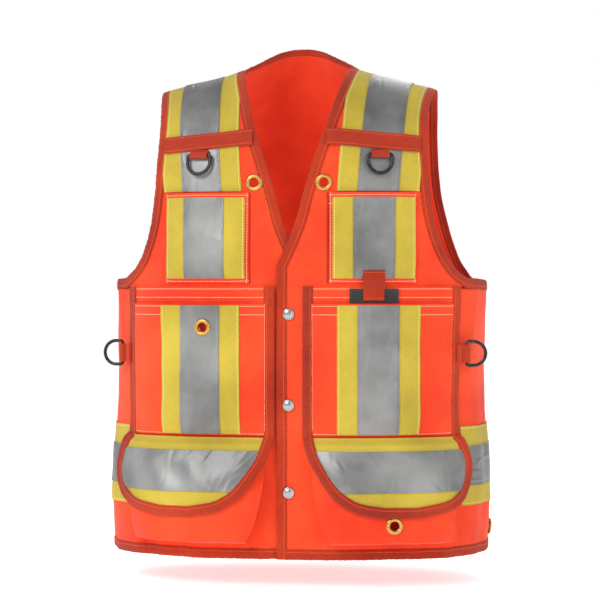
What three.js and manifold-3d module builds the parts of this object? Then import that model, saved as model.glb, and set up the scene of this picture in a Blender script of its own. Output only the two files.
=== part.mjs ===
// Utility work vest: orange cloth, reflective braces, patch pockets, bellows pouches and D-rings.
// Millimetres, +Z up, the front faces -Y, the origin is between the shoulders at the neck points.
import * as THREE from 'three';
import Module from 'manifold-3d';
import { mergeVertices } from 'three/addons/utils/BufferGeometryUtils.js';

const wasm = await Module();
wasm.setup();

// Body of the vest
const bodyHeight = 635;
const chestHalfWidth = 245;
const frontDepth = 137;
const backDepth = 137;
const girthPower = 2.4;
const capDrop = 150;
const capSpan = 220;
const ridgeSetBack = 5;
const shoulderHalfWidth = 180;
const shoulderSlope = 0.25;
const neckHalfWidth = 70;
const neckRise = 45;
const neckDip = 0.31;
const armpitDrop = 280;
const frontLap = 16;
const seamGap = 0.4;
const shoulderSeamDrop = 9;

// Cloth and tape
const clothThickness = 1.6;
const pocketCloth = 1.2;
const bindingWidth = 10;
const bindingThickness = 3.2;
const tapeWidth = 101.6;
const silverWidth = 50.8;
const tapeThickness = 1;
const layerGap = 0.5;
const webbingWidth = 20;
const webbingThickness = 1.8;

// Pockets
const pocketRoom = 6.5;
const chestPocketTop = 169;
const chestPocketBottom = 284;
const chestPocketInner = 51;
const chestPocketOuter = 160;
const lowerPocketTop = 288;
const mouthDrop = 22;
const lowerPocketFrontTop = lowerPocketTop + mouthDrop;
const pocketAboveHem = 157;
const lowerPocketBottom = bodyHeight - pocketAboveHem;
const lowerPocketInner = 28;
const lowerPocketOuter = 206;
const pouchAboveHem = 19;
const pouchBottom = bodyHeight - pouchAboveHem;
const pouchDepth = 32;
const flapHeight = 88;
const backPocketTop = 144;
const hipBandTop = lowerPocketBottom - bindingWidth;
const pocketAboveBand = 32;
const backPocketBottom = hipBandTop - pocketAboveBand;
const backPocketHalfWidth = 150;

// Tape layout
const braceCentre = 112;
const crossStart = 53;
const crossEnd = 106;

// Hardware
const ringWidth = 35;
const ringHeight = 29;
const ringWire = 2.2;
const loopWidth = 24;
const grommetRadius = 11;
const grommetHole = 6.2;
const grommetRise = 1.6;
const barrelDepth = 3;
const snapRadius = 7.6;
const snapRise = 3.2;

// Girth and depth down the body, as shares of the chest sizes
const SECTIONS = [
  { drop: 0.24, width: 0.985, front: 0.99, back: 1.0 },
  { drop: 0.44, width: 1.0, front: 1.0, back: 0.99 },
  { drop: 0.75, width: 1.02, front: 1.0, back: 0.99 },
  { drop: 0.9, width: 1.025, front: 0.99, back: 1.0 },
  { drop: 1.0, width: 1.01, front: 0.98, back: 0.99 }
];

// Cloth edge of the armhole: drop as a share of the armpit's, reach as a share of the shoulder's
const ARMHOLE = [
  { drop: 0.1, front: 0.95, back: 0.96 },
  { drop: 0.32, front: 0.905, back: 0.95 },
  { drop: 0.46, front: 0.917, back: 0.96 },
  { drop: 0.57, front: 0.933, back: 0.975 },
  { drop: 0.71, front: 0.967, back: 1.03 },
  { drop: 0.82, front: 1.02, back: 1.085 },
  { drop: 0.9, front: 1.08, back: 1.14 },
  { drop: 0.96, front: 1.16, back: 1.21 },
  { drop: 1.0, front: 1.25, back: 1.29 }
];

// Neckline of each front: drop as a share of the armpit's, reach as a share of the neck's
const NECKLINE = [
  { drop: 0.0, reach: 1.0 },
  { drop: 0.04, reach: 0.96 },
  { drop: 0.3, reach: 0.66 },
  { drop: 0.57, reach: 0.31 },
  { drop: 0.77, reach: 0.08 },
  { drop: 0.86, reach: -0.07 },
  { drop: 0.94, reach: -0.22 }
];

// Soft folds: where each lies round the body and down it, how far it spreads, how far it stands out
const FOLDS = [
  { turn: 2.7, drop: 1.0, wide: 0.35, tall: 0.1, out: -5 },
  { turn: -2.5, drop: 1.0, wide: 0.3, tall: 0.1, out: 4 },
  { turn: 1.5, drop: 0.62, wide: 0.5, tall: 0.14, out: -5 },
  { turn: -1.5, drop: 0.62, wide: 0.5, tall: 0.14, out: -5 }
];

// How far the bellows pouch stands out: drop as a share of its height, depth as a share of its depth
const POUCH = [
  { drop: 0.0, depth: 0.34, inner: 0.0, outer: 0.0 },
  { drop: 0.15, depth: 0.62, inner: 0.01, outer: 0.01 },
  { drop: 0.35, depth: 0.85, inner: 0.02, outer: 0.02 },
  { drop: 0.65, depth: 1.0, inner: 0.06, outer: 0.03 },
  { drop: 0.9, depth: 1.0, inner: 0.12, outer: 0.05 },
  { drop: 1.0, depth: 0.9, inner: 0.16, outer: 0.08 }
];

// Rounded lower edge of the flap: drop as a share of its height, sides as shares of the pocket's width
const FLAP = [
  { drop: 0.0, inner: 0.0, outer: 1.0 },
  { drop: 0.25, inner: 0.04, outer: 1.04 },
  { drop: 0.5, inner: 0.11, outer: 1.05 },
  { drop: 0.7, inner: 0.18, outer: 1.02 },
  { drop: 0.85, inner: 0.26, outer: 0.95 },
  { drop: 0.95, inner: 0.37, outer: 0.84 },
  { drop: 1.0, inner: 0.5, outer: 0.7 }
];

const finish = (color, roughness, metalness = 0) =>
  new THREE.MeshStandardMaterial({ color, roughness, metalness });
const orangeCloth = finish(0xf24a26, 0.85);
const orangeTrim = finish(0xb8300f, 0.8);
const yellowTape = finish(0xd8cc50, 0.7);
const silverTape = finish(0xa6a6a6, 0.4);
const blackRing = finish(0x1c2222, 0.3);
const brass = finish(0xc08a3c, 0.35, 1);
const chrome = finish(0xc8c8c8, 0.2, 1);
const hookPile = finish(0x14120f, 0.95);

const group = new THREE.Group();

function add(name, geometry, material) {
  const mesh = new THREE.Mesh(geometry, material);
  mesh.name = name;
  group.add(mesh);
  return mesh;
}

// Number in a table column, straight between its rows
function read(table, key, where, column) {
  const last = table.length - 1;
  if (where <= table[0][key]) return table[0][column];
  if (where >= table[last][key]) return table[last][column];
  const next = table.findIndex((row) => row[key] > where);
  const low = table[next - 1];
  const high = table[next];
  const share = (where - low[key]) / (high[key] - low[key]);
  return low[column] + share * (high[column] - low[column]);
}

const signedPower = (value, power) => Math.sign(value) * Math.abs(value) ** power;
const quarterTurn = Math.PI / 2;
const topLevel = capSpan - capDrop;
const steps = (from, to, count) =>
  Array.from({ length: count + 1 }, (_, i) => from + ((to - from) * i) / count);

function ridgeHeight(x) {
  const out = Math.max(0, Math.abs(x) - neckHalfWidth);
  const inside = Math.max(0, 1 - (x / (neckHalfWidth + bindingWidth)) ** 2);
  return neckRise * inside * inside - out * shoulderSlope;
}

// Bare body form: angle 0 is the centre front, levels above the cap's foot turn over the shoulder
function form(angle, level) {
  const foot = Math.min(level, -capDrop);
  const drop = -foot / bodyHeight;
  const halfWidth = chestHalfWidth * read(SECTIONS, 'drop', drop, 'width');
  const x = halfWidth * signedPower(Math.sin(angle), 2 / girthPower);
  const reach = Math.abs(Math.cos(angle)) ** (2 / girthPower);
  const turn = (Math.max(0, level + capDrop) / capSpan) * quarterTurn;
  const faces = Math.cos(angle) >= 0 === Math.cos(turn) >= 0;
  const front = -frontDepth * read(SECTIONS, 'drop', drop, 'front');
  const back = backDepth * read(SECTIONS, 'drop', drop, 'back');
  const depth = (faces ? front : back) * reach;
  const y = ridgeSetBack + (depth - ridgeSetBack) * Math.abs(Math.cos(turn));
  const z = foot + (ridgeHeight(x) + capDrop) * Math.sin(turn);
  return new THREE.Vector3(x, turn > 0 ? y : depth, z);
}

function outward(angle, level) {
  const step = 0.004;
  const round = form(angle + step, level).sub(form(angle - step, level));
  const up = form(angle, level + 1).sub(form(angle, level - 1));
  return round.cross(up).normalize();
}

function foldHeight(angle, level) {
  const wrapped = Math.atan2(Math.sin(angle), Math.cos(angle));
  return FOLDS.reduce((sum, fold) => {
    const across = (wrapped - fold.turn) / fold.wide;
    const down = (-level / bodyHeight - fold.drop) / fold.tall;
    return sum + fold.out * Math.exp(-across * across - down * down);
  }, 0);
}

function onCloth(angle, level, lift) {
  const base = form(angle, level);
  return base.addScaledVector(outward(angle, level), lift + foldHeight(angle, level));
}

// Angle at which the front or the back has a given x
function angleAt(x, level, behind = false) {
  const drop = capDrop < -level ? -level / bodyHeight : capDrop / bodyHeight;
  const halfWidth = chestHalfWidth * read(SECTIONS, 'drop', drop, 'width');
  const share = Math.min(1, Math.abs(x) / halfWidth);
  const angle = Math.sign(x) * Math.asin(share ** (girthPower / 2));
  return behind ? Math.PI - angle : angle;
}

// Level at which the cloth has a given height
function levelAt(x, z) {
  if (z <= -capDrop) return z;
  const share = Math.min(1, (z + capDrop) / (ridgeHeight(x) + capDrop));
  return -capDrop + (capSpan * Math.asin(share)) / quarterTurn;
}

// Closed solid of a sheet whose two faces are grids; closed round when loop is true
function sheet(columns, rows, place, under, over, loop = false) {
  const count = columns.length;
  const points = [];
  for (const lift of [under, over]) {
    for (const v of rows) {
      for (const u of columns) {
        const [angle, level] = place(u, v);
        const height = typeof lift === 'function' ? lift(u, v, angle, level) : lift;
        points.push(onCloth(angle, level, height));
      }
    }
  }
  return gridSolid(points, count, rows.length, loop);
}

// Joins two stacked grids of points, the under face first, into one closed solid
function gridSolid(points, across, up, loop) {
  const size = across * up;
  const faces = [];
  const at = (layer, i, j) => layer * size + j * across + (i % across);
  const quad = (a, b, c, d) => faces.push(a, b, c, a, c, d);
  const spans = loop ? across : across - 1;
  for (let j = 0; j < up - 1; j += 1) {
    for (let i = 0; i < spans; i += 1) {
      quad(at(1, i, j), at(1, i + 1, j), at(1, i + 1, j + 1), at(1, i, j + 1));
      quad(at(0, i, j), at(0, i, j + 1), at(0, i + 1, j + 1), at(0, i + 1, j));
    }
    if (!loop) {
      quad(at(0, 0, j), at(1, 0, j), at(1, 0, j + 1), at(0, 0, j + 1));
      const end = across - 1;
      quad(at(1, end, j), at(0, end, j), at(0, end, j + 1), at(1, end, j + 1));
    }
  }
  for (let i = 0; i < spans; i += 1) {
    const top = up - 1;
    quad(at(0, i, 0), at(0, i + 1, 0), at(1, i + 1, 0), at(1, i, 0));
    quad(at(1, i, top), at(1, i + 1, top), at(0, i + 1, top), at(0, i, top));
  }
  const geometry = new THREE.BufferGeometry();
  const flat = points.flatMap((p) => [p.x, p.y, p.z]);
  geometry.setAttribute('position', new THREE.Float32BufferAttribute(flat, 3));
  geometry.setIndex(faces);
  return geometry;
}

// Strip that follows stations on the cloth and reaches sideways from them, as binding does
function strip(stations, near, far, under, over, loop = false) {
  const spots = stations.map(([angle, level, lift = 0]) => ({
    at: onCloth(angle, level, lift),
    normal: outward(angle, level)
  }));
  const count = spots.length;
  const points = [];
  const corner = (i, side, rise) => {
    const before = spots[loop ? (i + count - 1) % count : Math.max(0, i - 1)].at;
    const after = spots[loop ? (i + 1) % count : Math.min(count - 1, i + 1)].at;
    const along = after.clone().sub(before).normalize();
    const across = along.cross(spots[i].normal).normalize();
    return spots[i].at.clone().addScaledVector(across, side).addScaledVector(spots[i].normal, rise);
  };
  for (const rise of [under, over]) {
    for (const side of [near, far]) {
      for (let i = 0; i < count; i += 1) points.push(corner(i, side, rise));
    }
  }
  return gridSolid(points, count, 2, loop);
}

function solidOf(geometry) {
  const bare = geometry.clone();
  bare.deleteAttribute('normal');
  bare.deleteAttribute('uv');
  const merged = mergeVertices(bare, 1e-4);
  const vertProperties = new Float32Array(merged.attributes.position.array);
  const triVerts = new Uint32Array(merged.index.array);
  return new wasm.Manifold(new wasm.Mesh({ numProp: 3, vertProperties, triVerts }));
}

function geometryOf(solid) {
  const mesh = solid.getMesh();
  const geometry = new THREE.BufferGeometry();
  geometry.setAttribute('position', new THREE.BufferAttribute(mesh.vertProperties, 3));
  geometry.setIndex(new THREE.BufferAttribute(mesh.triVerts, 1));
  return geometry;
}

// Frame on the cloth: X along it, Y up it, Z away from it
function frameAt(angle, level, lift) {
  const normal = outward(angle, level);
  const up = new THREE.Vector3(0, 0, 1);
  const along = up.clone().cross(normal).normalize();
  const rise = normal.clone().cross(along);
  const matrix = new THREE.Matrix4().makeBasis(along, rise, normal);
  return matrix.setPosition(onCloth(angle, level, lift));
}

const clothUnder = -clothThickness;
const tapeUnder = layerGap;
const tapeOver = tapeUnder + tapeThickness;
const silverUnder = tapeOver + layerGap;
const silverOver = silverUnder + tapeThickness;
const hemLevel = -(bodyHeight - bindingWidth);
const armpitLevel = -(armpitDrop + bindingWidth);
const neckPoint = neckHalfWidth + bindingWidth;

// Edge of the front at the neck and down the closing
const NECK_EDGE = NECKLINE.map(({ drop, reach }) => {
  const x = Math.max(-frontLap, reach * neckHalfWidth) + bindingWidth;
  const level = drop === 0 ? topLevel : levelAt(x, -drop * armpitDrop);
  return { level: -level, x };
});
const neckEdge = (level) => read(NECK_EDGE, 'level', -level, 'x');

const ARM_EDGE = ARMHOLE.map(({ drop, front, back }) => {
  const z = -drop * (armpitDrop + bindingWidth);
  const level = (side) => levelAt(side * shoulderHalfWidth, z);
  return { front, back, level: -level(front) };
});

function armEdge(level, behind) {
  if (level <= armpitLevel) return quarterTurn;
  const reach = read(ARM_EDGE, 'level', -level, behind ? 'back' : 'front');
  return angleAt(reach * shoulderHalfWidth, level);
}

const ROWS_BELOW = steps(hemLevel, armpitLevel, 5);
const ROWS_ARM = [0.965, 0.91, 0.82, 0.72, 0.6].map((share) => armpitLevel * share);
const ROWS_CAP = steps(-capDrop, topLevel, 5);
const PANEL_ROWS = [...ROWS_BELOW, ...ROWS_ARM, ...ROWS_CAP];
const frontTopLevel = topLevel - shoulderSeamDrop;
const backTopLevel = topLevel + shoulderSeamDrop - seamGap;
const sideSeam = seamGap / chestHalfWidth;
const frontColumns = 7;

// The right front passes under the left one, so its edge dips inward
function lapDip(x) {
  const share = THREE.MathUtils.smoothstep(x, -2.2 * frontLap, -1.2 * frontLap);
  return -share * (bindingThickness + clothThickness);
}

function frontPanel(side) {
  const rows = PANEL_ROWS.map((level) => Math.min(level, frontTopLevel));
  const place = (u, level) => {
    const inner = angleAt(neckEdge(level), level);
    const outer = armEdge(level, false) - sideSeam;
    return [side * (inner + (outer - inner) * u), level];
  };
  const dip = (angle, level) => (side < 0 ? lapDip(form(angle, level).x) : 0);
  const columns = side > 0 ? steps(0, 1, frontColumns) : steps(1, 0, frontColumns);
  return sheet(
    columns, rows, place,
    (u, v, angle, level) => clothUnder + dip(angle, level),
    (u, v, angle, level) => dip(angle, level)
  );
}

// The neck edge of the back lies behind the ridge; rows past it close up under it
const neckRowStep = 2;
const backRows = [...PANEL_ROWS, backTopLevel];

function backLevel(x, level) {
  const inside = Math.max(0, 1 - (x / neckPoint) ** 2);
  const edge = backTopLevel - capSpan * neckDip * inside;
  const rowsAbove = backRows.filter((row) => row > level).length;
  return Math.min(level, edge - rowsAbove * neckRowStep * Math.min(1, 4 * inside));
}

function neckEdgeBack(level) {
  const share = (backTopLevel - level) / (capSpan * neckDip);
  return neckPoint * Math.sqrt(Math.max(0, 1 - share));
}

function backPlace(u, level) {
  const neck = angleAt(neckPoint, level);
  const arm = armEdge(level, true) - sideSeam;
  const size = Math.abs(u);
  const angle = size < 1 ? neck * size : neck + (arm - neck) * (size - 1);
  const turned = Math.PI - Math.sign(u) * angle;
  return [turned, backLevel(form(turned, level).x, level)];
}

const backColumns = [...steps(2, 1, 4), ...steps(1, -1, 6).slice(1, -1), ...steps(-1, -2, 4)];
const backPanel = sheet(backColumns, backRows, backPlace, clothUnder, 0);

// Grommet seats: where each brass eyelet is set, and the pieces that it pierces
const hemSeatDrop = bodyHeight - bindingWidth - 1.6 * grommetRadius;
const chestSeatClear = 2;
const chestSeatDrop = chestPocketTop - grommetRadius - chestSeatClear;
const chestSeatX = 44.5;

function punch(name, frame, deep) {
  const mesh = group.getObjectByName(name);
  const tool = new THREE.CylinderGeometry(grommetHole, grommetHole, 2 * deep, 10);
  tool.rotateX(quarterTurn);
  tool.applyMatrix4(frame);
  mesh.geometry = geometryOf(solidOf(mesh.geometry).subtract(solidOf(tool)));
}

// Binding: folded strips that run on from the cloth's cut edge
const bindUnder = -(bindingThickness + clothThickness) / 2;
const bindOver = bindUnder + bindingThickness;
const bindNear = -seamGap;
const bindFar = -(seamGap + bindingWidth);
const NECK_ROWS = [
  -bodyHeight, ...ROWS_BELOW.slice(1), ...ROWS_ARM, ...ROWS_CAP
].map((level) => Math.min(level, frontTopLevel));

function frontEdge(side) {
  return NECK_ROWS.map((level) => {
    const x = side * neckEdge(level);
    return [angleAt(x, level), level, side < 0 ? lapDip(x) : 0];
  });
}

const neckBack = steps(1, -1, 6).slice(1, -1).map((u) => backPlace(u, backTopLevel));
const neckPath = [...frontEdge(1), ...neckBack, ...frontEdge(-1).reverse()];

const hemTurns = [
  ...steps(angleAt(-neckEdge(hemLevel), hemLevel), -quarterTurn, 8),
  ...backColumns.slice(1).map((u) => -Math.PI - (backPlace(u, hemLevel)[0] - Math.PI)),
  ...steps(-3 * quarterTurn, angleAt(neckEdge(hemLevel), hemLevel) - 4 * quarterTurn, 8).slice(1)
];
const hemPath = hemTurns.map((angle) => {
  const overRight = angle > -quarterTurn;
  return [angle, hemLevel, overRight ? lapDip(form(angle, hemLevel).x) : 0];
});

function armholePath(side) {
  const rows = [...PANEL_ROWS.filter((level) => level > armpitLevel && level < topLevel)];
  const down = rows.map((level) => [side * armEdge(level, false), level]).reverse();
  const up = [...rows, topLevel].map((level) => [side * (Math.PI - armEdge(level, true)), level]);
  const path = [...down, [side * quarterTurn, armpitLevel], ...up];
  return side > 0 ? path : path.reverse();
}

// Flat patch of cloth or tape between heights and widths, on the front or the back
function patch(xs, zs, behind, under, over) {
  const columns = [...xs].sort((a, b) => (behind ? b - a : a - b));
  const rows = [...zs].sort((a, b) => a - b);
  const place = (x, z) => {
    const level = levelAt(x, z);
    return [angleAt(x, level, behind), level];
  };
  const lift = (value) => (typeof value === 'function' ? (u, v) => value(u, v) : value);
  return sheet(columns, rows, place, lift(under), lift(over));
}

// Grid lines of a lower piece that fall inside a piece laid on it
function inside(lines, from, to) {
  const low = Math.min(from, to);
  const high = Math.max(from, to);
  return [low, ...lines.filter((line) => line > low + 3 && line < high - 3), high];
}

// How far a patch pocket stands off: flat where it is sewn down, full elsewhere
const pocketFade = 32;
const pocketFoot = 1.6 * layerGap;
const pocketFlat = pocketFoot + 2 * pocketCloth;

function swell(distance) {
  const share = Math.min(1, Math.max(0, distance / pocketFade));
  return 1 - (1 - share) ** 2;
}

function pocketFace(pocket, x, z) {
  const edges = [
    pocket.sewn.includes('inner') ? Math.abs(x - pocket.inner) : pocketFade,
    pocket.sewn.includes('outer') ? Math.abs(x - pocket.outer) : pocketFade,
    pocket.sewn.includes('top') ? pocket.top - z : pocketFade,
    pocket.sewn.includes('bottom') ? z - pocket.bottom : pocketFade
  ];
  return pocketFlat + pocketRoom * edges.reduce((share, edge) => share * swell(edge), 1);
}

// Patch pocket: a rear and a front layer, sewn together round the cut-away room between them
function patchPocket(pocket) {
  const face = (x, z) => pocketFace(pocket, x, z);
  const body = patch(pocket.xs, pocket.zs, pocket.behind, pocketFoot, face);
  const hem = 1.5 * pocketCloth;
  const past = 4 * pocketCloth;
  const edge = (side, other) => {
    const reach = pocket.sewn.includes(side) ? -hem : past;
    return reach * Math.sign(pocket[side] - other);
  };
  const ends = {
    inner: pocket.inner + edge('inner', pocket.outer),
    outer: pocket.outer + edge('outer', pocket.inner),
    top: pocket.top + edge('top', pocket.bottom),
    bottom: pocket.bottom + edge('bottom', pocket.top)
  };
  const roomXs = inside(pocket.xs, ends.inner, ends.outer);
  const roomZs = inside(pocket.zs, ends.bottom, ends.top);
  const room = patch(
    roomXs, roomZs, pocket.behind,
    pocketFoot + pocketCloth,
    (x, z) => Math.max(pocketFoot + pocketCloth + 0.1, face(x, z) - pocketCloth)
  );
  return solidOf(body).subtract(solidOf(room));
}

function chestPocket(side) {
  const inner = side * chestPocketInner;
  const outer = side * chestPocketOuter;
  return {
    inner, outer, top: -chestPocketTop, bottom: -chestPocketBottom, behind: false,
    sewn: ['inner', 'outer', 'bottom'],
    xs: steps(inner, outer, 5), zs: steps(-chestPocketBottom, -chestPocketTop, 4)
  };
}

function lowerPocket(side) {
  const inner = side * lowerPocketInner;
  const outer = side * lowerPocketOuter;
  return {
    inner, outer, top: -lowerPocketFrontTop, bottom: -lowerPocketBottom, behind: false,
    sewn: ['inner', 'outer', 'bottom'],
    xs: steps(inner, outer, 6), zs: steps(-lowerPocketBottom, -lowerPocketFrontTop, 3)
  };
}

const backPocket = {
  inner: -backPocketHalfWidth, outer: backPocketHalfWidth,
  top: -backPocketTop, bottom: -backPocketBottom, behind: true,
  sewn: ['inner', 'top', 'bottom'],
  xs: steps(-backPocketHalfWidth, backPocketHalfWidth, 9),
  zs: inside([...ROWS_BELOW, ...ROWS_ARM.slice(3), -capDrop], -backPocketBottom, -backPocketTop)
};

// Tape on a pocket, wide and full height
const tapeClear = 0.3;

function pocketTape(pocket, centre, width, margin, under, over) {
  const xs = inside(pocket.xs, centre - width / 2, centre + width / 2);
  const zs = inside(pocket.zs, pocket.bottom + margin, pocket.top - margin);
  const face = (x, z) => pocketFace(pocket, x, z) + tapeClear;
  return patch(xs, zs, pocket.behind, (x, z) => face(x, z) + under, (x, z) => face(x, z) + over);
}

// Brace over the shoulder: its centre line as it passes each level
const braceEnd = 2 * topLevel + backPocketTop - 2;
const braceTurnDrop = 100;
const BRACE = [
  { level: -chestPocketTop, centre: braceCentre },
  { level: -braceTurnDrop, centre: braceCentre + 5 },
  { level: topLevel, centre: braceCentre + 14 },
  { level: braceEnd, centre: crossStart }
];

// The brace runs askew, so a level cuts it a little wider than its width
const braceSlantFront = 1.01;
const braceSlantBack = 1.05;

function brace(side, width, under, over) {
  const across = steps(-0.5, 0.5, width > silverWidth ? 4 : 2);
  const rise = [...ROWS_CAP.slice(0, -1), frontTopLevel];
  const fall = rise.slice(0, -1).map((level) => 2 * topLevel - level).reverse();
  const rows = [2 - chestPocketTop, ...rise, topLevel, ...fall.slice(0, -1), braceEnd];
  const place = (u, level) => {
    const centre = read(BRACE, 'level', level, 'centre');
    const slant = level > topLevel ? braceSlantBack : braceSlantFront;
    const behind = level > topLevel;
    const height = behind ? 2 * topLevel - level : level;
    const armLimit = form(armEdge(height, behind), height).x - 2 * seamGap;
    const neckLimit = (behind ? neckEdgeBack(height) : neckEdge(height)) + 2 * seamGap;
    const x = Math.max(neckLimit, Math.min(centre + u * side * width * slant, armLimit));
    return [side * angleAt(x, level), level];
  };
  const lift = (level) => (level > topLevel ? 3 * layerGap : 0);
  return sheet(across, rows, place, (u, v) => under + lift(v), (u, v) => over + lift(v));
}

const rearLap = 6;
const chestTapeMargin = 7;
const lowerTapeMargin = 2;

for (const [word, side] of [['left', 1], ['right', -1]]) {
  add(`front_panel_${word}`, frontPanel(side), orangeCloth);
  const armhole = strip(armholePath(side), bindNear, bindFar, bindUnder, bindOver, true);
  add(`armhole_binding_${word}`, armhole, orangeTrim);
  add(`brace_yellow_${word}`, brace(side, tapeWidth, tapeUnder, tapeOver), yellowTape);
  add(`brace_silver_${word}`, brace(side, silverWidth, silverUnder, silverOver), silverTape);

  const chest = chestPocket(side);
  add(`chest_pocket_${word}`, geometryOf(patchPocket(chest)), orangeCloth);
  const chestCentre = side * (chestPocketInner + chestPocketOuter + 2) / 2;
  add(`chest_pocket_yellow_${word}`,
    pocketTape(chest, chestCentre, tapeWidth, chestTapeMargin, tapeUnder, tapeOver), yellowTape);
  add(`chest_pocket_silver_${word}`,
    pocketTape(chest, chestCentre, silverWidth, chestTapeMargin, silverUnder, silverOver), silverTape);

  const lower = lowerPocket(side);
  const rearZs = [-lowerPocketFrontTop - rearLap, -lowerPocketTop];
  const rear = patch(lower.xs, rearZs, false, pocketFoot, pocketFoot + pocketCloth);
  add(`lower_pocket_${word}`, geometryOf(patchPocket(lower).add(solidOf(rear))), orangeCloth);
  add(`lower_pocket_yellow_${word}`,
    pocketTape(lower, side * braceCentre, tapeWidth, lowerTapeMargin, tapeUnder, tapeOver), yellowTape);
  add(`lower_pocket_silver_${word}`,
    pocketTape(lower, side * braceCentre, silverWidth, lowerTapeMargin, silverUnder, silverOver),
    silverTape);
}
add('back_panel', backPanel, orangeCloth);
add('neck_and_front_binding', strip(neckPath, bindNear, bindFar, bindUnder, bindOver), orangeTrim);
add('hem_binding', strip(hemPath, bindNear, bindFar, bindUnder, bindOver), orangeTrim);
add('back_pocket', geometryOf(patchPocket(backPocket)), orangeCloth);

// X of tape on the back pocket: each strip runs from the top at one side to the bottom at the other
const crossTop = -backPocketTop - 1;
const crossBottom = -backPocketBottom + 1;
const crossCut = 16;

function crossStrip(side, width, under, over) {
  const rows = inside(backPocket.zs, crossBottom, crossTop);
  const slope = (crossStart + crossEnd) / (crossTop - crossBottom);
  const half = (width / 2) * Math.hypot(1, slope);
  const limit = backPocketHalfWidth - 2 * pocketCloth;
  const place = (u, z) => {
    const centre = side * (crossStart - (crossTop - z) * slope);
    const corner = Math.max(0, crossCut - (z - crossBottom));
    const x = THREE.MathUtils.clamp(centre + u * half, -limit + corner, limit - corner);
    return [angleAt(x, z, true), levelAt(x, z)];
  };
  const face = (angle, level) => {
    const at = form(angle, level);
    return pocketFace(backPocket, at.x, at.z);
  };
  return sheet(
    steps(1, -1, width > silverWidth ? 6 : 3), rows, place,
    (u, v, angle, level) => face(angle, level) + under + 1.4 * layerGap,
    (u, v, angle, level) => face(angle, level) + over + 1.4 * layerGap
  );
}

const crossClear = 0.7;
const secondTape = 2 * (layerGap + tapeThickness) + crossClear;
add('back_cross_yellow_a', crossStrip(1, tapeWidth, tapeUnder, tapeOver), yellowTape);
const silverClear = 0.4;
add('back_cross_silver_a',
  crossStrip(1, silverWidth, silverUnder + silverClear, silverOver + silverClear), silverTape);
add('back_cross_yellow_b',
  crossStrip(-1, tapeWidth, tapeUnder + secondTape, tapeOver + secondTape), yellowTape);
add('back_cross_silver_b',
  crossStrip(-1, silverWidth, silverUnder + secondTape + silverClear,
    silverOver + secondTape + silverClear), silverTape);

// Hip band: from one lower pocket round the back to the other
const hipStartX = lowerPocketOuter + bindingWidth + 3 * seamGap;

function hipBand(height, under, over) {
  const middle = -(hipBandTop + tapeWidth / 2);
  const first = angleAt(hipStartX, middle);
  const turns = steps(angleAt(neckEdge(middle), middle), quarterTurn - sideSeam, frontColumns);
  const front = [first, ...turns.filter((turn) => turn > first + 2 * sideSeam)];
  const back = backColumns.map((u) => backPlace(u, middle)[0]).reverse();
  const columns = [
    ...front, ...back.reverse(), ...front.map((turn) => 4 * quarterTurn - turn).reverse()
  ];
  const rows = inside(ROWS_BELOW, middle - height / 2, middle + height / 2);
  return sheet(columns, rows, (u, v) => [u, v], under, over);
}

add('hip_band_yellow', hipBand(tapeWidth, tapeUnder, tapeOver), yellowTape);
add('hip_band_silver', hipBand(silverWidth, silverUnder, silverOver), silverTape);

// Bellows pouch below each lower pocket, and the flap that hangs over it
const pouchMouthDrop = 13;
const pouchTop = lowerPocketBottom + pouchMouthDrop;
const pouchHeight = pouchBottom - pouchTop;
const pocketWidth = lowerPocketOuter - lowerPocketInner;
const pouchWall = 1.5;
const flapClear = 3;
const flapThickness = 1.6;

function pouchShape(side, z) {
  const drop = (-z - pouchTop) / pouchHeight;
  const inner = lowerPocketInner + pocketWidth * read(POUCH, 'drop', drop, 'inner');
  const outer = lowerPocketOuter - pocketWidth * read(POUCH, 'drop', drop, 'outer');
  const depth = pouchDepth * read(POUCH, 'drop', drop, 'depth');
  return { inner: side * inner, outer: side * outer, depth };
}

// How far the pouch's face stands off at a place; it falls away towards its gusset sides
function pouchFace(x, z) {
  const size = Math.abs(x);
  const { depth } = pouchShape(1, z);
  const middle = (lowerPocketInner + lowerPocketOuter) / 2 + 0.02 * pocketWidth;
  const share = Math.min(1, Math.abs(size - middle) / (0.57 * pocketWidth));
  return pocketFlat + (depth - pocketFlat) * (1 - share ** 4);
}

const pouchColumns = [0, 0.1, 0.28, 0.5, 0.72, 0.9, 1];

function pouchPlace(side, u, z, inset) {
  const { inner, outer } = pouchShape(side, z);
  const x = inner + side * inset + (outer - inner - 2 * side * inset) * u;
  return [angleAt(x, z), z];
}

function pouch(side) {
  const columns = side > 0 ? pouchColumns : [...pouchColumns].reverse();
  const rows = POUCH.map(({ drop }) => -pouchTop - pouchHeight * drop).reverse();
  const shell = sheet(
    columns, rows, (u, z) => pouchPlace(side, u, z, 0), pocketFoot,
    (u, z, angle, level) => pouchFace(form(angle, level).x, z)
  );
  const roomRows = rows.map((z, i) => (i === 0 ? z + 2 * pouchWall : z));
  roomRows[roomRows.length - 1] += 2 * pouchWall;
  const room = sheet(
    columns, roomRows, (u, z) => pouchPlace(side, u, z, 4 * pouchWall), pocketFoot + pouchWall,
    (u, z, angle, level) => {
      const face = pouchFace(form(angle, level).x, z) - pouchWall;
      return Math.max(pocketFoot + pouchWall + 0.2, face);
    }
  );
  return geometryOf(solidOf(shell).subtract(solidOf(room)));
}

function flapShape(side, drop) {
  const inner = lowerPocketInner + pocketWidth * read(FLAP, 'drop', drop, 'inner');
  const outer = lowerPocketInner + pocketWidth * read(FLAP, 'drop', drop, 'outer');
  return { inner: side * inner, outer: side * outer };
}

const silverFrom = 0.18;
const silverTo = silverFrom + silverWidth / flapHeight;

// How far the flap's back stands off: it leaves the pocket's foot and clears the pouch
const flapTop = lowerPocketBottom + 2;

function flapBack(x, z) {
  const share = THREE.MathUtils.smoothstep(-z, flapTop, pouchTop - 1);
  const low = pocketFlat;
  return low + (pouchFace(x, Math.min(z, -pouchTop)) + flapClear - low) * share;
}

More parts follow.
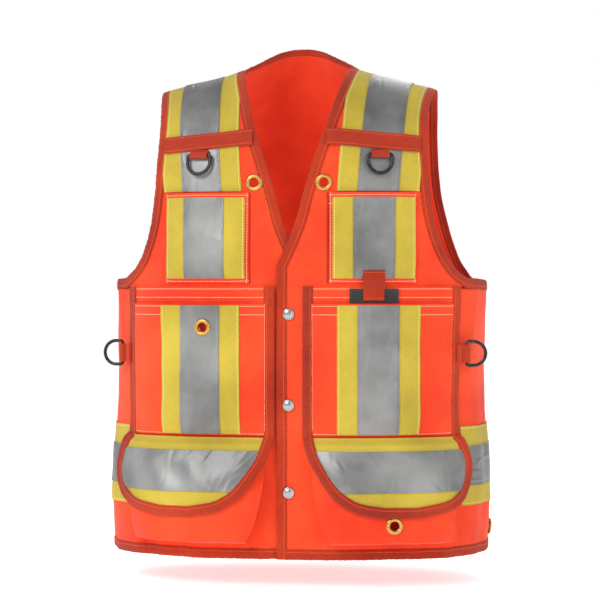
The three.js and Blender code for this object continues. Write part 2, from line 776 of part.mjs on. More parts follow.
const leastDrop = 0.02;

function flapSheet(side, dropFrom, dropTo, inset, under, over) {
  const all = [...FLAP.map(({ drop }) => drop), 0.12, silverFrom, silverTo].sort((a, b) => a - b);
  const between = all.filter((drop) => drop > dropFrom + leastDrop && drop < dropTo - leastDrop);
  const drops = [dropFrom, ...between, dropTo].reverse();
  const columns = side > 0 ? pouchColumns : [...pouchColumns].reverse();
  const place = (u, drop) => {
    const { inner, outer } = flapShape(side, drop);
    const x = inner + side * inset + (outer - inner - 2 * side * inset) * u;
    return [angleAt(x, -flapTop - flapHeight * drop), -flapTop - flapHeight * drop];
  };
  return sheet(
    columns, drops, place,
    (u, v, angle, level) => flapBack(form(angle, level).x, level) + under,
    (u, v, angle, level) => flapBack(form(angle, level).x, level) + over
  );
}

// Bound edge down both sides of a lower pocket and round its flap
function pocketBinding(side) {
  const sideRows = steps(-lowerPocketTop, -flapTop, 5);
  const drops = FLAP.map(({ drop }) => drop);
  const down = (x) => sideRows.map((z) => [angleAt(x, z), z, pocketFoot]);
  const flapEdge = (which) => drops.slice(1).map((drop) => {
    const x = flapShape(side, drop)[which];
    const z = -flapTop - flapHeight * drop;
    return [angleAt(x, z), z, flapBack(x, z) + 0.8];
  });
  const inner = [...down(side * lowerPocketInner), ...flapEdge('inner')];
  const outer = [...down(side * lowerPocketOuter), ...flapEdge('outer')];
  const path = [...outer, ...inner.reverse()];
  return strip(side > 0 ? path : path.reverse(), bindNear, bindFar, 0.1, bindingThickness);
}

for (const [word, side] of [['left', 1], ['right', -1]]) {
  add(`pouch_${word}`, pouch(side), orangeCloth);
  add(`flap_${word}`, flapSheet(side, 0, 1, 0, 0, flapThickness), yellowTape);
  add(`flap_silver_${word}`,
    flapSheet(side, silverFrom, silverTo, 1.5,
      flapThickness + layerGap, flapThickness + layerGap + tapeThickness), silverTape);
  add(`pocket_binding_${word}`, pocketBinding(side), orangeTrim);
}

// Orange webbing across the top of each brace, and the folded loops that hold the D-rings
const chestWebTop = 94;
const chestWebSlope = 0.09;
const ringLift = silverOver + layerGap;
const loopRadius = ringWire + webbingThickness + 0.5;
const chestTail = 7;
const sideTail = 13;
const chestRingDrop = chestWebTop + webbingWidth + chestTail + 1;
const sideRingDrop = lowerPocketTop + 86;

function chestWebbing(side) {
  const across = side > 0 ? steps(0, 1, 5) : steps(1, 0, 5);
  const place = (u, v) => {
    const centre = -(chestWebTop + webbingWidth / 2);
    const from = neckEdge(centre) + seamGap;
    const to = form(armEdge(centre, false), centre).x - 3 * seamGap;
    const x = from + (to - from) * u;
    const z = centre + (v - 0.5) * webbingWidth - (x - braceCentre) * chestWebSlope;
    return [side * angleAt(x, levelAt(x, z)), levelAt(x, z)];
  };
  return sheet(across, [0, 0.5, 1], place, ringLift, ringLift + webbingThickness);
}

// Loop section: a tail that lies flat and an eye for the ring's bar
function loopShape(loopTail) {
  const shape = new THREE.Shape();
  const tailHeight = 2 * webbingThickness;
  const rise = Math.asin((tailHeight - loopRadius) / loopRadius);
  shape.moveTo(loopTail, 0);
  shape.lineTo(loopTail, tailHeight);
  shape.absarc(0, loopRadius, loopRadius, rise, Math.PI * 1.5, false);
  shape.closePath();
  const eye = new THREE.Path();
  eye.absarc(0, loopRadius, ringWire + 0.4, 0, Math.PI * 2, true);
  shape.holes.push(eye);
  return shape;
}

// D-ring centre line in its own plane: a bar along X and a bow below it
function ringWireForm() {
  const half = ringWidth / 2 - ringWire;
  const corner = 1.5 * ringWire;
  const straight = ringHeight - 2 * ringWire - half;
  const arc = (cx, cy, radius, from, to, count) =>
    steps(from, to, count).map((t) => [cx + radius * Math.cos(t), cy + radius * Math.sin(t)]);
  const line = [
    [0, 0],
    ...arc(half - corner, -corner, corner, quarterTurn, 0.4, 1),
    ...arc(0, -straight, half, 0, -Math.PI, 7),
    ...arc(corner - half, -corner, corner, Math.PI - 0.4, quarterTurn, 1)
  ];
  const sides = 5;
  const points = [];
  line.forEach(([x, y], i) => {
    const next = line[(i + 1) % line.length];
    const last = line[(i + line.length - 1) % line.length];
    const length = Math.hypot(next[0] - last[0], next[1] - last[1]);
    const nx = (next[1] - last[1]) / length;
    const ny = -(next[0] - last[0]) / length;
    for (let k = 0; k < sides; k += 1) {
      const turn = (k / sides) * 2 * Math.PI;
      const out = ringWire * Math.cos(turn);
      points.push(new THREE.Vector3(x + nx * out, y + ny * out, ringWire * Math.sin(turn)));
    }
  });
  const faces = [];
  for (let i = 0; i < line.length; i += 1) {
    for (let k = 0; k < sides; k += 1) {
      const j = (i + 1) % line.length;
      const m = (k + 1) % sides;
      const [a, b, c, d] = [i * sides + k, j * sides + k, j * sides + m, i * sides + m];
      faces.push(a, b, c, a, c, d);
    }
  }
  const geometry = new THREE.BufferGeometry();
  geometry.setAttribute('position', new THREE.Float32BufferAttribute(points.flatMap((p) => [...p]), 3));
  geometry.setIndex(faces);
  return geometry;
}

// Ring and loop set at a place: the tail points along one direction on the cloth
function ringSet(word, anchor, tail, length, normal, swing) {
  const bar = tail.clone().cross(normal).normalize();
  const extent = { depth: loopWidth, bevelEnabled: false, curveSegments: 4 };
  const loop = new THREE.ExtrudeGeometry(loopShape(length), extent);
  loop.translate(0, 0, -loopWidth / 2);
  const mesh = add(`ring_loop_${word}`, loop, orangeTrim);
  mesh.applyMatrix4(new THREE.Matrix4().makeBasis(tail, normal, bar).setPosition(anchor));
  const hang = tail.clone().multiplyScalar(Math.cos(swing)).addScaledVector(normal, -Math.sin(swing));
  const ring = add(`ring_${word}`, ringWireForm(), blackRing);
  const centre = anchor.clone().addScaledVector(normal, loopRadius);
  ring.applyMatrix4(new THREE.Matrix4().makeBasis(bar, hang, bar.clone().cross(hang)).setPosition(centre));
}

for (const [word, side] of [['left', 1], ['right', -1]]) {
  add(`chest_webbing_${word}`, chestWebbing(side), orangeTrim);
  const angle = side * angleAt(braceCentre + 2, -chestRingDrop);
  const chestLevel = levelAt(braceCentre + 2, -chestRingDrop);
  const chestNormal = outward(angle, chestLevel);
  const around = new THREE.Vector3(0, 0, 1).cross(chestNormal).normalize();
  const chestUp = chestNormal.clone().cross(around);
  ringSet(`chest_${word}`, onCloth(angle, chestLevel, ringLift), chestUp, chestTail, chestNormal, 0);

  const sideX = lowerPocketOuter + bindingWidth + ringWire;
  const sideAngle = side * angleAt(sideX, -sideRingDrop);
  const sideNormal = outward(sideAngle, -sideRingDrop);
  sideNormal.setZ(0).normalize();
  const sideAlong = new THREE.Vector3(0, 0, -side).cross(sideNormal).normalize();
  const sideAt = onCloth(sideAngle, -sideRingDrop, bindingThickness + 2.2);
  ringSet(`side_${word}`, sideAt, sideAlong, sideTail, sideNormal, 0.6);
}

// Brass eyelets: a rolled rim on a short barrel
function grommet() {
  const barrel = grommetHole - 0.4;
  const rim = grommetRise;
  const profile = [
    [barrel - 1, -barrelDepth], [barrel, -barrelDepth], [barrel, 0], [grommetRadius, 0],
    [grommetRadius - 1.5, rim], [barrel + 0.5, rim], [barrel - 1, -barrelDepth]
  ].map(([x, y]) => new THREE.Vector2(x, y));
  const geometry = new THREE.LatheGeometry(profile, 8);
  geometry.rotateX(quarterTurn);
  return geometry;
}

// Chrome snap cap: a low dome on a flat foot
function snap() {
  const profile = [
    [0, 0], [snapRadius, 0], [snapRadius, 0.8], [snapRadius * 0.9, snapRise * 0.7],
    [snapRadius * 0.55, snapRise], [0, snapRise]
  ].map(([x, y]) => new THREE.Vector2(x, y));
  const geometry = new THREE.LatheGeometry(profile, 10);
  geometry.rotateX(quarterTurn);
  return geometry;
}

const chestSeat = (side) => {
  const level = levelAt(chestSeatX, -chestSeatDrop);
  return frameAt(side * angleAt(chestSeatX, level), level, 0);
};
const hemSeat = (side) => frameAt(side * (quarterTurn + 0.16), -hemSeatDrop, 0);
const pouchSeatX = 128;
const pouchSeatRise = 28;
const pouchSeatZ = -(pouchBottom - pouchSeatRise);
const pouchSeat = frameAt(angleAt(pouchSeatX, pouchSeatZ), pouchSeatZ, pouchFace(pouchSeatX, pouchSeatZ));
const pocketSeatX = 108;
const pocketSeatDrop = 30;
const pocketSeatZ = -(lowerPocketFrontTop + pocketSeatDrop);
const pocketSeatLift = pocketFace(lowerPocket(-1), -pocketSeatX, pocketSeatZ) + silverOver + 0.4;
const pocketSeat = frameAt(-angleAt(pocketSeatX, pocketSeatZ), pocketSeatZ, pocketSeatLift);

function place(name, geometry, frame, lift, material) {
  const mesh = add(name, geometry, material);
  mesh.applyMatrix4(frame.clone().multiply(new THREE.Matrix4().makeTranslation(0, 0, lift)));
}

const grommetLift = 1.1;
place('grommet_chest_left', grommet(), chestSeat(1), grommetLift, brass);
place('grommet_chest_right', grommet(), chestSeat(-1), grommetLift, brass);
const hemGrommetLift = -0.3;
place('grommet_hem_left', grommet(), hemSeat(1), hemGrommetLift, brass);
place('grommet_hem_right', grommet(), hemSeat(-1), hemGrommetLift, brass);
place('grommet_pouch', grommet(), pouchSeat, grommetLift, brass);
place('grommet_pocket', grommet(), pocketSeat, grommetLift, brass);

const clothDeep = 2.5 * clothThickness;
punch('front_panel_left', chestSeat(1), clothDeep);
punch('front_panel_right', chestSeat(-1), clothDeep);
punch('back_panel', hemSeat(1), clothDeep);
punch('back_panel', hemSeat(-1), clothDeep);
punch('pouch_left', pouchSeat, clothDeep);
for (const name of ['lower_pocket_right', 'lower_pocket_yellow_right', 'lower_pocket_silver_right']) {
  punch(name, pocketSeat, 1.8 * clothDeep);
}

// Snaps down the closing
const snapShares = { upper: 0.509, middle: 0.691, lower: 0.866 };
for (const [word, share] of Object.entries(snapShares)) {
  place(`snap_${word}`, snap(), frameAt(0, -share * bodyHeight, 0), bindOver + 0.3, chrome);
}

// Hook-and-loop patches, and the webbing tab over the front one
const frontPatch = { inner: 77, outer: 138, top: lowerPocketTop + 3, bottom: lowerPocketFrontTop - 1 };
const patchLift = pocketFoot + pocketCloth + layerGap;
add('hook_patch_front', patch(
  steps(frontPatch.inner, frontPatch.outer, 3), [-frontPatch.bottom, -frontPatch.top],
  false, patchLift, patchLift + 1.5
), hookPile);
const backPatch = { inner: 151.5, outer: 169, top: 163, bottom: 188 };
add('hook_patch_back', patch(
  steps(backPatch.inner, backPatch.outer, 2), steps(-backPatch.bottom, -backPatch.top, 2),
  true, 2 * layerGap, 2 * layerGap + 1.5
), hookPile);
const tab = { inner: 94, outer: 120, top: chestPocketBottom - 16, bottom: lowerPocketFrontTop - 4 };
const chestLeft = chestPocket(1);
const tabRise = 14;
const tabLift = (x, z) => {
  const low = patchLift + 1.5 + layerGap;
  const share = THREE.MathUtils.smoothstep(z, -lowerPocketTop - 4, -chestPocketBottom + 6);
  const face = pocketFace(chestLeft, x, Math.max(z, -chestPocketBottom + tabRise));
  return low + (face + silverOver + layerGap - low) * share;
};
add('pocket_tab', patch(
  steps(tab.inner, tab.outer, 2), steps(-tab.bottom, -tab.top, 5), false,
  tabLift, (x, z) => tabLift(x, z) + webbingThickness
), orangeTrim);

export default group;
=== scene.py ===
import bpy
import numpy as np
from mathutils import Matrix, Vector


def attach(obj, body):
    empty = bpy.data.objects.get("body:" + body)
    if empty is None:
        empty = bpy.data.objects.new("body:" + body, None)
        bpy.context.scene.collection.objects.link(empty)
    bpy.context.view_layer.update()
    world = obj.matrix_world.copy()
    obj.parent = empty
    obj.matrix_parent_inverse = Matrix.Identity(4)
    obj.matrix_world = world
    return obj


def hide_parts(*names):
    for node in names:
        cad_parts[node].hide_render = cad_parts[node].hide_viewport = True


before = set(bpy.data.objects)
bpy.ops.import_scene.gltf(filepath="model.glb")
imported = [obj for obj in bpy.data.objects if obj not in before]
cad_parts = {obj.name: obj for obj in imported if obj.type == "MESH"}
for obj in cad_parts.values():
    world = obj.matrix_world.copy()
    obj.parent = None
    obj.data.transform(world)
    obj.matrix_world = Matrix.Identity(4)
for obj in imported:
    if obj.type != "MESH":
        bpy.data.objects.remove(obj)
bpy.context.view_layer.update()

# Orange shell
# Two fronts and a back, cut from fluorescent orange woven polyester and 1.6 mm thick with their seams.
# They hang from the shoulders, sewn together just ahead of the ridge and down the sides.
# Sizes are in mm. A place on the cloth is an angle, 0 at the centre front, and a level down it.
MM = 0.001
QUARTER = np.pi / 2
SIDES = (("left", 1), ("right", -1))
BODY_HEIGHT = 635.0
CHEST_HALF_WIDTH = 245.0
FRONT_DEPTH = 137.0
BACK_DEPTH = 137.0
GIRTH_POWER = 2.4
CAP_DROP = 150.0
CAP_SPAN = 220.0
TOP_LEVEL = CAP_SPAN - CAP_DROP
RIDGE_SET_BACK = 5.0
SHOULDER_HALF_WIDTH = 180.0
SHOULDER_SLOPE = 0.25
NECK_HALF_WIDTH = 70.0
NECK_RISE = 45.0
NECK_DIP = 0.31
ARMPIT_DROP = 280.0
FRONT_LAP = 16.0
BINDING_WIDTH = 10.0
SEAM_GAP = 0.4
HEM_LEVEL = -(BODY_HEIGHT - BINDING_WIDTH)
ARMPIT_LEVEL = -(ARMPIT_DROP + BINDING_WIDTH)
NECK_POINT = NECK_HALF_WIDTH + BINDING_WIDTH

SECTIONS = {
    "drop": (0.24, 0.44, 0.75, 0.9, 1.0),
    "width": (0.985, 1.0, 1.02, 1.025, 1.01),
    "front": (0.99, 1.0, 1.0, 0.99, 0.98),
    "back": (1.0, 0.99, 0.99, 1.0, 0.99),
}
ARMHOLE = {
    "drop": (0.1, 0.32, 0.46, 0.57, 0.71, 0.82, 0.9, 0.96, 1.0),
    "front": (0.95, 0.905, 0.917, 0.933, 0.967, 1.02, 1.08, 1.16, 1.25),
    "back": (0.96, 0.95, 0.96, 0.975, 1.03, 1.085, 1.14, 1.21, 1.29),
}
NECKLINE = {
    "drop": (0.0, 0.04, 0.3, 0.57, 0.77, 0.86, 0.94),
    "reach": (1.0, 0.96, 0.66, 0.31, 0.08, -0.07, -0.22),
}
# Soft folds: turn round the body, drop down it, width, height, tilt, and how far each stands out
FOLDS = (
    (2.7, 1.0, 0.35, 0.1, 0.0, -5.0),
    (-2.5, 1.0, 0.3, 0.1, 0.0, 4.0),
    (1.5, 0.62, 0.5, 0.14, 0.0, -5.0),
    (-1.5, 0.62, 0.5, 0.14, 0.0, -5.0),
    (2.2, 0.55, 0.07, 0.2, 0.6, 2.6),
    (-2.3, 0.52, 0.07, 0.22, -0.7, 2.6),
    (1.85, 0.5, 0.06, 0.16, 0.5, -2.4),
    (-1.9, 0.48, 0.06, 0.16, -0.5, -2.4),
    (1.2, 0.52, 0.05, 0.12, -0.5, 2.0),
    (-1.2, 0.5, 0.05, 0.12, 0.5, 2.0),
    (0.48, 0.98, 0.09, 0.2, 0.1, -3.0),
    (-0.42, 0.99, 0.08, 0.22, -0.1, 3.2),
    (0.86, 1.0, 0.07, 0.16, 0.3, 3.0),
    (-0.8, 0.97, 0.08, 0.2, 0.2, -3.0),
    (1.36, 0.9, 0.09, 0.25, -0.2, -3.2),
    (-1.4, 0.92, 0.08, 0.28, 0.25, -3.4),
    (1.78, 0.97, 0.08, 0.3, 0.15, 3.0),
    (-1.72, 1.0, 0.07, 0.26, -0.2, 3.2),
    (2.28, 0.86, 0.07, 0.26, 0.2, -2.6),
    (-2.14, 0.88, 0.08, 0.24, -0.3, -2.8),
    (3.05, 1.0, 0.1, 0.2, 0.1, 3.0),
    (-2.8, 0.95, 0.06, 0.18, 0.2, -2.4),
)
# Ripples that run through every layer: wave numbers a metre across, through and up, start, size
RIPPLES = (
    (15.0, 6.0, 9.0, 0.4, 1.3),
    (-17.0, 21.0, 27.0, 1.9, 1.0),
    (41.0, -13.0, 19.0, 3.1, 0.75),
    (-53.0, 34.0, 27.0, 5.2, 0.5),
    (29.0, 47.0, -61.0, 0.9, 0.42),
    (83.0, 21.0, 45.0, 2.2, 0.26),
    (-71.0, 66.0, -93.0, 4.0, 0.22),
    (120.0, -80.0, 64.0, 1.2, 0.12),
)

# Bars of the left D-rings; the cloth lies calm round them, where they are sewn on
RING_CENTRES = {"chest": (115.717, -130.783, -120.516), "side": (223.833, -83.668, -373.947)}
CALM_REACH = 38.0
ANGLE_STEP = 0.004
LAP_DIP = 4.8
SHARP_TURN = 0.9
UV_PER_MM = 0.01
FAR_FROM_EDGE = 1000


def read(keys, values, where):
    """Value of a table at a place, smoothly between its rows"""
    keys = np.asarray(keys, float)
    values = np.asarray(values, float)
    slopes = np.gradient(values, keys)
    where = np.clip(where, keys[0], keys[-1])
    low = np.clip(np.searchsorted(keys, where, side="right") - 1, 0, len(keys) - 2)
    span = keys[low + 1] - keys[low]
    t = (where - keys[low]) / span
    a = (1 + 2 * t) * (1 - t) ** 2 * values[low] + t * (1 - t) ** 2 * span * slopes[low]
    b = t * t * (3 - 2 * t) * values[low + 1] + t * t * (t - 1) * span * slopes[low + 1]
    return a + b


def smoothstep(value, low, high):
    share = np.clip((value - low) / (high - low), 0, 1)
    return share * share * (3 - 2 * share)


def ridge_height(x):
    """Height of the shoulder ridge, which rises to the neck and falls away outside it"""
    out = np.maximum(0, np.abs(x) - NECK_HALF_WIDTH)
    inside = np.maximum(0, 1 - (x / NECK_POINT) ** 2)
    return NECK_RISE * inside * inside - out * SHOULDER_SLOPE


def form(angle, level):
    """Point of the body that the vest hangs on: superellipse sections that turn over the shoulders"""
    angle, level = np.broadcast_arrays(np.asarray(angle, float), np.asarray(level, float))
    foot = np.minimum(level, -CAP_DROP)
    drop = -foot / BODY_HEIGHT
    half = CHEST_HALF_WIDTH * read(SECTIONS["drop"], SECTIONS["width"], drop)
    sine = np.sin(angle)
    cosine = np.cos(angle)
    x = half * np.sign(sine) * np.abs(sine) ** (2 / GIRTH_POWER)
    reach = np.abs(cosine) ** (2 / GIRTH_POWER)
    turn = np.maximum(0, level + CAP_DROP) / CAP_SPAN * QUARTER
    front = -FRONT_DEPTH * read(SECTIONS["drop"], SECTIONS["front"], drop)
    back = BACK_DEPTH * read(SECTIONS["drop"], SECTIONS["back"], drop)
    depth = np.where((cosine >= 0) == (np.cos(turn) >= 0), front, back) * reach
    y = RIDGE_SET_BACK + (depth - RIDGE_SET_BACK) * np.abs(np.cos(turn))
    z = foot + (ridge_height(x) + CAP_DROP) * np.sin(turn)
    return np.stack([x, np.where(turn > 0, y, depth), z], -1)


def outward(angle, level):
    """Direction straight out of the cloth"""
    round_it = form(angle + ANGLE_STEP, level) - form(angle - ANGLE_STEP, level)
    up = form(angle, level + 1) - form(angle, level - 1)
    normal = np.cross(round_it, up)
    return normal / np.linalg.norm(normal, axis=-1, keepdims=True)


def fold_height(angle, level, base):
    """Folds and ripples at a place, which every layer shares"""
    wrapped = np.arctan2(np.sin(angle), np.cos(angle))
    total = np.zeros(np.shape(wrapped + level))
    for turn, drop, wide, tall, tilt, out in FOLDS:
        down = -level / BODY_HEIGHT - drop
        across = (wrapped - turn - tilt * down) / wide
        total = total + out * np.exp(-(across**2) - (down / tall) ** 2)
    mirrored = base.copy()
    mirrored[..., 0] = np.abs(mirrored[..., 0])
    calm = 1.0
    for centre in RING_CENTRES.values():
        calm = calm - np.exp(-np.sum((mirrored - centre) ** 2, -1) / CALM_REACH**2)
    here = base * MM
    for kx, ky, kz, start, size in RIPPLES:
        phase = kx * here[..., 0] + ky * here[..., 1] + kz * here[..., 2] + start
        total = total + calm * size * np.sin(phase + 0.8 * np.sin(0.43 * phase + 2 * start))
    return total


def on_cloth(angle, level, lift):
    """Points a given height off the shell's outer face"""
    base = form(angle, level)
    height = lift + fold_height(angle, level, base)
    return base + outward(angle, level) * height[..., None]


def angle_at(x, level, behind=False):
    drop = np.maximum(CAP_DROP, -level) / BODY_HEIGHT
    half = CHEST_HALF_WIDTH * read(SECTIONS["drop"], SECTIONS["width"], drop)
    share = np.minimum(1, np.abs(x) / half)
    angle = np.sign(x) * np.arcsin(share ** (GIRTH_POWER / 2))
    return np.pi - angle if behind else angle


def level_at(x, z):
    share = np.clip((z + CAP_DROP) / (ridge_height(x) + CAP_DROP), 0, 1)
    return np.where(z <= -CAP_DROP, z, -CAP_DROP + CAP_SPAN * np.arcsin(share) / QUARTER)


neck_x = np.maximum(-FRONT_LAP, np.array(NECKLINE["reach"]) * NECK_HALF_WIDTH) + BINDING_WIDTH
neck_levels = level_at(neck_x, -np.array(NECKLINE["drop"]) * ARMPIT_DROP)
neck_levels[0] = TOP_LEVEL
arm_z = -np.array(ARMHOLE["drop"]) * (ARMPIT_DROP + BINDING_WIDTH)
arm_levels = level_at(np.array(ARMHOLE["front"]) * SHOULDER_HALF_WIDTH, arm_z)


def neck_edge(level):
    return np.maximum(read(-neck_levels, neck_x, -level), neck_x[-1])


def arm_edge(level, behind):
    x = read(-arm_levels, ARMHOLE["back" if behind else "front"], -level) * SHOULDER_HALF_WIDTH
    return np.where(level <= ARMPIT_LEVEL, QUARTER, angle_at(x, level))


def lap_dip(x):
    """How far the right front sinks where the left one laps over it"""
    return -smoothstep(x, -2.2 * FRONT_LAP, -1.2 * FRONT_LAP) * LAP_DIP


def grid_piece(name, under, over, material, loop=False, skip=None):
    """Closed sheet between two grids of points in mm (rows, columns, 3), with its own lengths as UV"""
    rows, columns = over.shape[:2]
    size = rows * columns
    points = np.concatenate([under.reshape(-1, 3), over.reshape(-1, 3)]) * MM
    spans = columns if loop else columns - 1
    j, i = np.meshgrid(np.arange(rows - 1), np.arange(spans), indexing="ij")
    i, j = i.ravel(), j.ravel()
    a, b = j * columns + i, j * columns + (i + 1) % columns
    c, d = b + columns, a + columns
    rims = []
    if skip is not None and skip.any():
        keep = ~skip[:-1, :-1]
        whole = keep.ravel()
        a, b, c, d = a[whole], b[whole], c[whole], d[whole]
        for kept_first, order in ((True, 1), (False, -1)):
            j, i = np.nonzero((keep[:, :-1] == kept_first) & (keep[:, 1:] != kept_first))
            k = j * columns + i + 1
            rims.append(np.stack([k, k + columns, k + size + columns, k + size], 1)[:, ::order])
            j, i = np.nonzero((keep[:-1] == kept_first) & (keep[1:] != kept_first))
            k = (j + 1) * columns + i
            rims.append(np.stack([k + size, k + size + 1, k + 1, k], 1)[:, ::order])
    quads = rims + [np.stack([a + size, b + size, c + size, d + size], 1), np.stack([a, d, c, b], 1)]
    if not loop:
        k = np.arange(rows - 1) * columns
        quads.append(np.stack([k, k + size, k + size + columns, k + columns], 1))
        k = k + columns - 1
        quads.append(np.stack([k, k + columns, k + size + columns, k + size], 1))
    i = np.arange(spans)
    n = (i + 1) % columns
    quads.append(np.stack([i, n, n + size, i + size], 1))
    top = size - columns
    quads.append(np.stack([top + i, top + i + size, top + n + size, top + n], 1))
    faces = np.concatenate(quads)
    mesh = bpy.data.meshes.new(name)
    mesh.vertices.add(len(points))
    mesh.vertices.foreach_set("co", points.ravel())
    mesh.loops.add(faces.size)
    mesh.loops.foreach_set("vertex_index", faces.ravel())
    mesh.polygons.add(len(faces))
    mesh.polygons.foreach_set("loop_start", np.arange(0, faces.size, 4))
    mesh.update(calc_edges=True)
    across = np.zeros((rows, columns))
    across[:, 1:] = np.cumsum(np.linalg.norm(np.diff(over, axis=1), axis=2), 1)
    along = np.zeros((rows, columns))
    along[1:] = np.cumsum(np.linalg.norm(np.diff(over, axis=0), axis=2), 0)
    far_u = across[:, -1:] - across
    far_v = along[-1:] - along
    if loop:
        far_u = far_u + FAR_FROM_EDGE
        across = across + FAR_FROM_EDGE
    run = np.stack([across - across[:, columns // 2 : columns // 2 + 1], along], -1).reshape(-1, 2)
    edge = np.stack([np.minimum(across, far_u), np.minimum(along, far_v), far_v], -1)
    for label, values in (("run", run), ("edge", edge.reshape(-1, 3))):
        wide = np.zeros((2 * size, 3))
        wide[:, : values.shape[1]] = np.concatenate([values, values])
        mesh.attributes.new(label, "FLOAT_VECTOR", "POINT").data.foreach_set("vector", wide.ravel())
    layer = mesh.uv_layers.new(name="UVMap")
    layer.data.foreach_set("uv", (np.concatenate([run, run])[faces.ravel()] * UV_PER_MM).ravel())
    mesh.shade_smooth()
    mesh.set_sharp_from_angle(angle=SHARP_TURN)
    mesh.materials.append(material)
    thing = bpy.data.objects.new(name, mesh)
    bpy.context.scene.collection.objects.link(thing)
    return thing


def sheet_piece(name, us, vs, place, under, over, material, skip=None):
    """Sheet laid on the body: place gives angle and level, under and over give its two heights"""
    u, v = np.meshgrid(us, vs)
    angle, level = np.broadcast_arrays(*place(u, v))
    faces = []
    for lift in (under, over):
        height = lift(u, v, angle, level) if callable(lift) else np.full(u.shape, float(lift))
        faces.append(on_cloth(angle, level, height))
    gone = None if skip is None else skip(faces[1])
    return grid_piece(name, *faces, material, skip=gone)


def sewn(thing, nodes, body="vest"):
    """Hands a finished piece to the frame"""
    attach(thing, body)
    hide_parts(*nodes)


def node(tree, kind, **settings):
    made = tree.nodes.new(kind)
    for key, value in settings.items():
        setattr(made, key, value)
    return made


def math_node(tree, how, *values, clamp=False):
    """Math node whose inputs are numbers or sockets; returns its output"""
    made = node(tree, "ShaderNodeMath", operation=how, use_clamp=clamp)
    for socket, value in zip(made.inputs, values):
        if isinstance(value, (int, float)):
            socket.default_value = value
        else:
            tree.links.new(value, socket)
    return made.outputs[0]


def effect(name, inputs, outputs):
    """Empty node group with named number inputs and outputs"""
    tree = bpy.data.node_groups.new(name, "ShaderNodeTree")
    for label, value in inputs:
        kind = "NodeSocketVector" if value is None else "NodeSocketFloat"
        socket = tree.interface.new_socket(label, in_out="INPUT", socket_type=kind)
        if value is not None:
            socket.default_value = value
    for label in outputs:
        tree.interface.new_socket(label, in_out="OUTPUT", socket_type="NodeSocketFloat")
    return tree, node(tree, "NodeGroupInput").outputs, node(tree, "NodeGroupOutput").inputs


def noise(tree, vector, scale, detail=3.0, rough=0.55):
    made = node(tree, "ShaderNodeTexNoise")
    made.inputs["Scale"].default_value = scale
    made.inputs["Detail"].default_value = detail
    made.inputs["Roughness"].default_value = rough
    tree.links.new(vector, made.inputs["Vector"])
    return made.outputs["Fac"]


def creased(tree, vector, scale, distortion):
    """Ridged noise, for sharp handling creases"""
    made = node(tree, "ShaderNodeTexNoise", noise_type="RIDGED_MULTIFRACTAL")
    made.inputs["Scale"].default_value = scale
    made.inputs["Detail"].default_value = 3.0
    made.inputs["Distortion"].default_value = distortion
    tree.links.new(vector, made.inputs["Vector"])
    return made.outputs["Fac"]


def split(tree, vector):
    made = node(tree, "ShaderNodeSeparateXYZ")
    tree.links.new(vector, made.inputs[0])
    return made.outputs


def ramp(tree, value, low, high):
    """Value taken from low..high to 0..1"""
    made = node(tree, "ShaderNodeMapRange", interpolation_type="SMOOTHSTEP")
    made.inputs["From Min"].default_value = low
    made.inputs["From Max"].default_value = high
    tree.links.new(value, made.inputs["Value"])
    return made.outputs["Result"]


# Plain weave: over and under threads of a given pitch in mm, along the piece's own lengths
weave, given, gives = effect("weave", [("Run", None), ("Pitch", 0.8)], ["Height"])
parts = split(weave, given["Run"])
waves = []
for axis in (0, 1):
    turns = math_node(weave, "DIVIDE", parts[axis], given["Pitch"])
    waves.append(math_node(weave, "SINE", math_node(weave, "MULTIPLY", turns, 2 * np.pi)))
weave.links.new(math_node(weave, "MULTIPLY", *waves), gives["Height"])

# Row of stitches a set distance in from an edge, with the pucker that it draws in the cloth
stitches, given, gives = effect(
    "stitches", [("Distance", 0.0), ("Along", 0.0), ("Inset", 3.0), ("Length", 3.2)], ["Mask", "Height"]
)
away = math_node(stitches, "SUBTRACT", given["Distance"], given["Inset"])
away = math_node(stitches, "ABSOLUTE", away)
line = ramp(stitches, away, 0.55, 0.25)
place_on = math_node(stitches, "FRACT", math_node(stitches, "DIVIDE", given["Along"], given["Length"]))
place_on = math_node(stitches, "ABSOLUTE", math_node(stitches, "SUBTRACT", place_on, 0.5))
dash = ramp(stitches, place_on, 0.42, 0.34)
mask = math_node(stitches, "MULTIPLY", line, dash)
valley = ramp(stitches, away, 3.0, 0.0)
puff = math_node(stitches, "MULTIPLY", valley, math_node(stitches, "MULTIPLY", place_on, -0.7))
stitches.links.new(mask, gives["Mask"])
lift = math_node(stitches, "ADD", math_node(stitches, "MULTIPLY", mask, 0.25), puff)
stitches.links.new(lift, gives["Height"])

# Painted shade in large random blotches, handling creases and fine fuzz of a worn cloth
mottle, given, gives = effect("mottle", [("Place", None)], ["Shade", "Crease", "Fuzz"])
mottle.links.new(noise(mottle, given["Place"], 9.0, 4.0), gives["Shade"])
bent = creased(mottle, given["Place"], 11.0, 0.6)
small = noise(mottle, given["Place"], 38.0, 2.0)
both = math_node(mottle, "MULTIPLY_ADD", small, 0.45, bent)
mottle.links.new(both, gives["Crease"])
mottle.links.new(noise(mottle, given["Place"], 900.0, 2.0), gives["Fuzz"])

# Short puckers that run in from a sewn edge and die away
gather, given, gives = effect("gather", [("Distance", 0.0), ("Along", 0.0), ("Reach", 14.0)], ["Height"])
spot = node(gather, "ShaderNodeCombineXYZ")
gather.links.new(math_node(gather, "MULTIPLY", given["Along"], 0.12), spot.inputs[0])
gather.links.new(math_node(gather, "MULTIPLY", given["Distance"], 0.03), spot.inputs[1])
bumps = noise(gather, spot.outputs[0], 1.0, 2.0)
spent = math_node(gather, "DIVIDE", given["Distance"], given["Reach"])
fade = math_node(gather, "SUBTRACT", 1.0, spent, clamp=True)
gather.links.new(math_node(gather, "MULTIPLY", bumps, fade), gives["Height"])


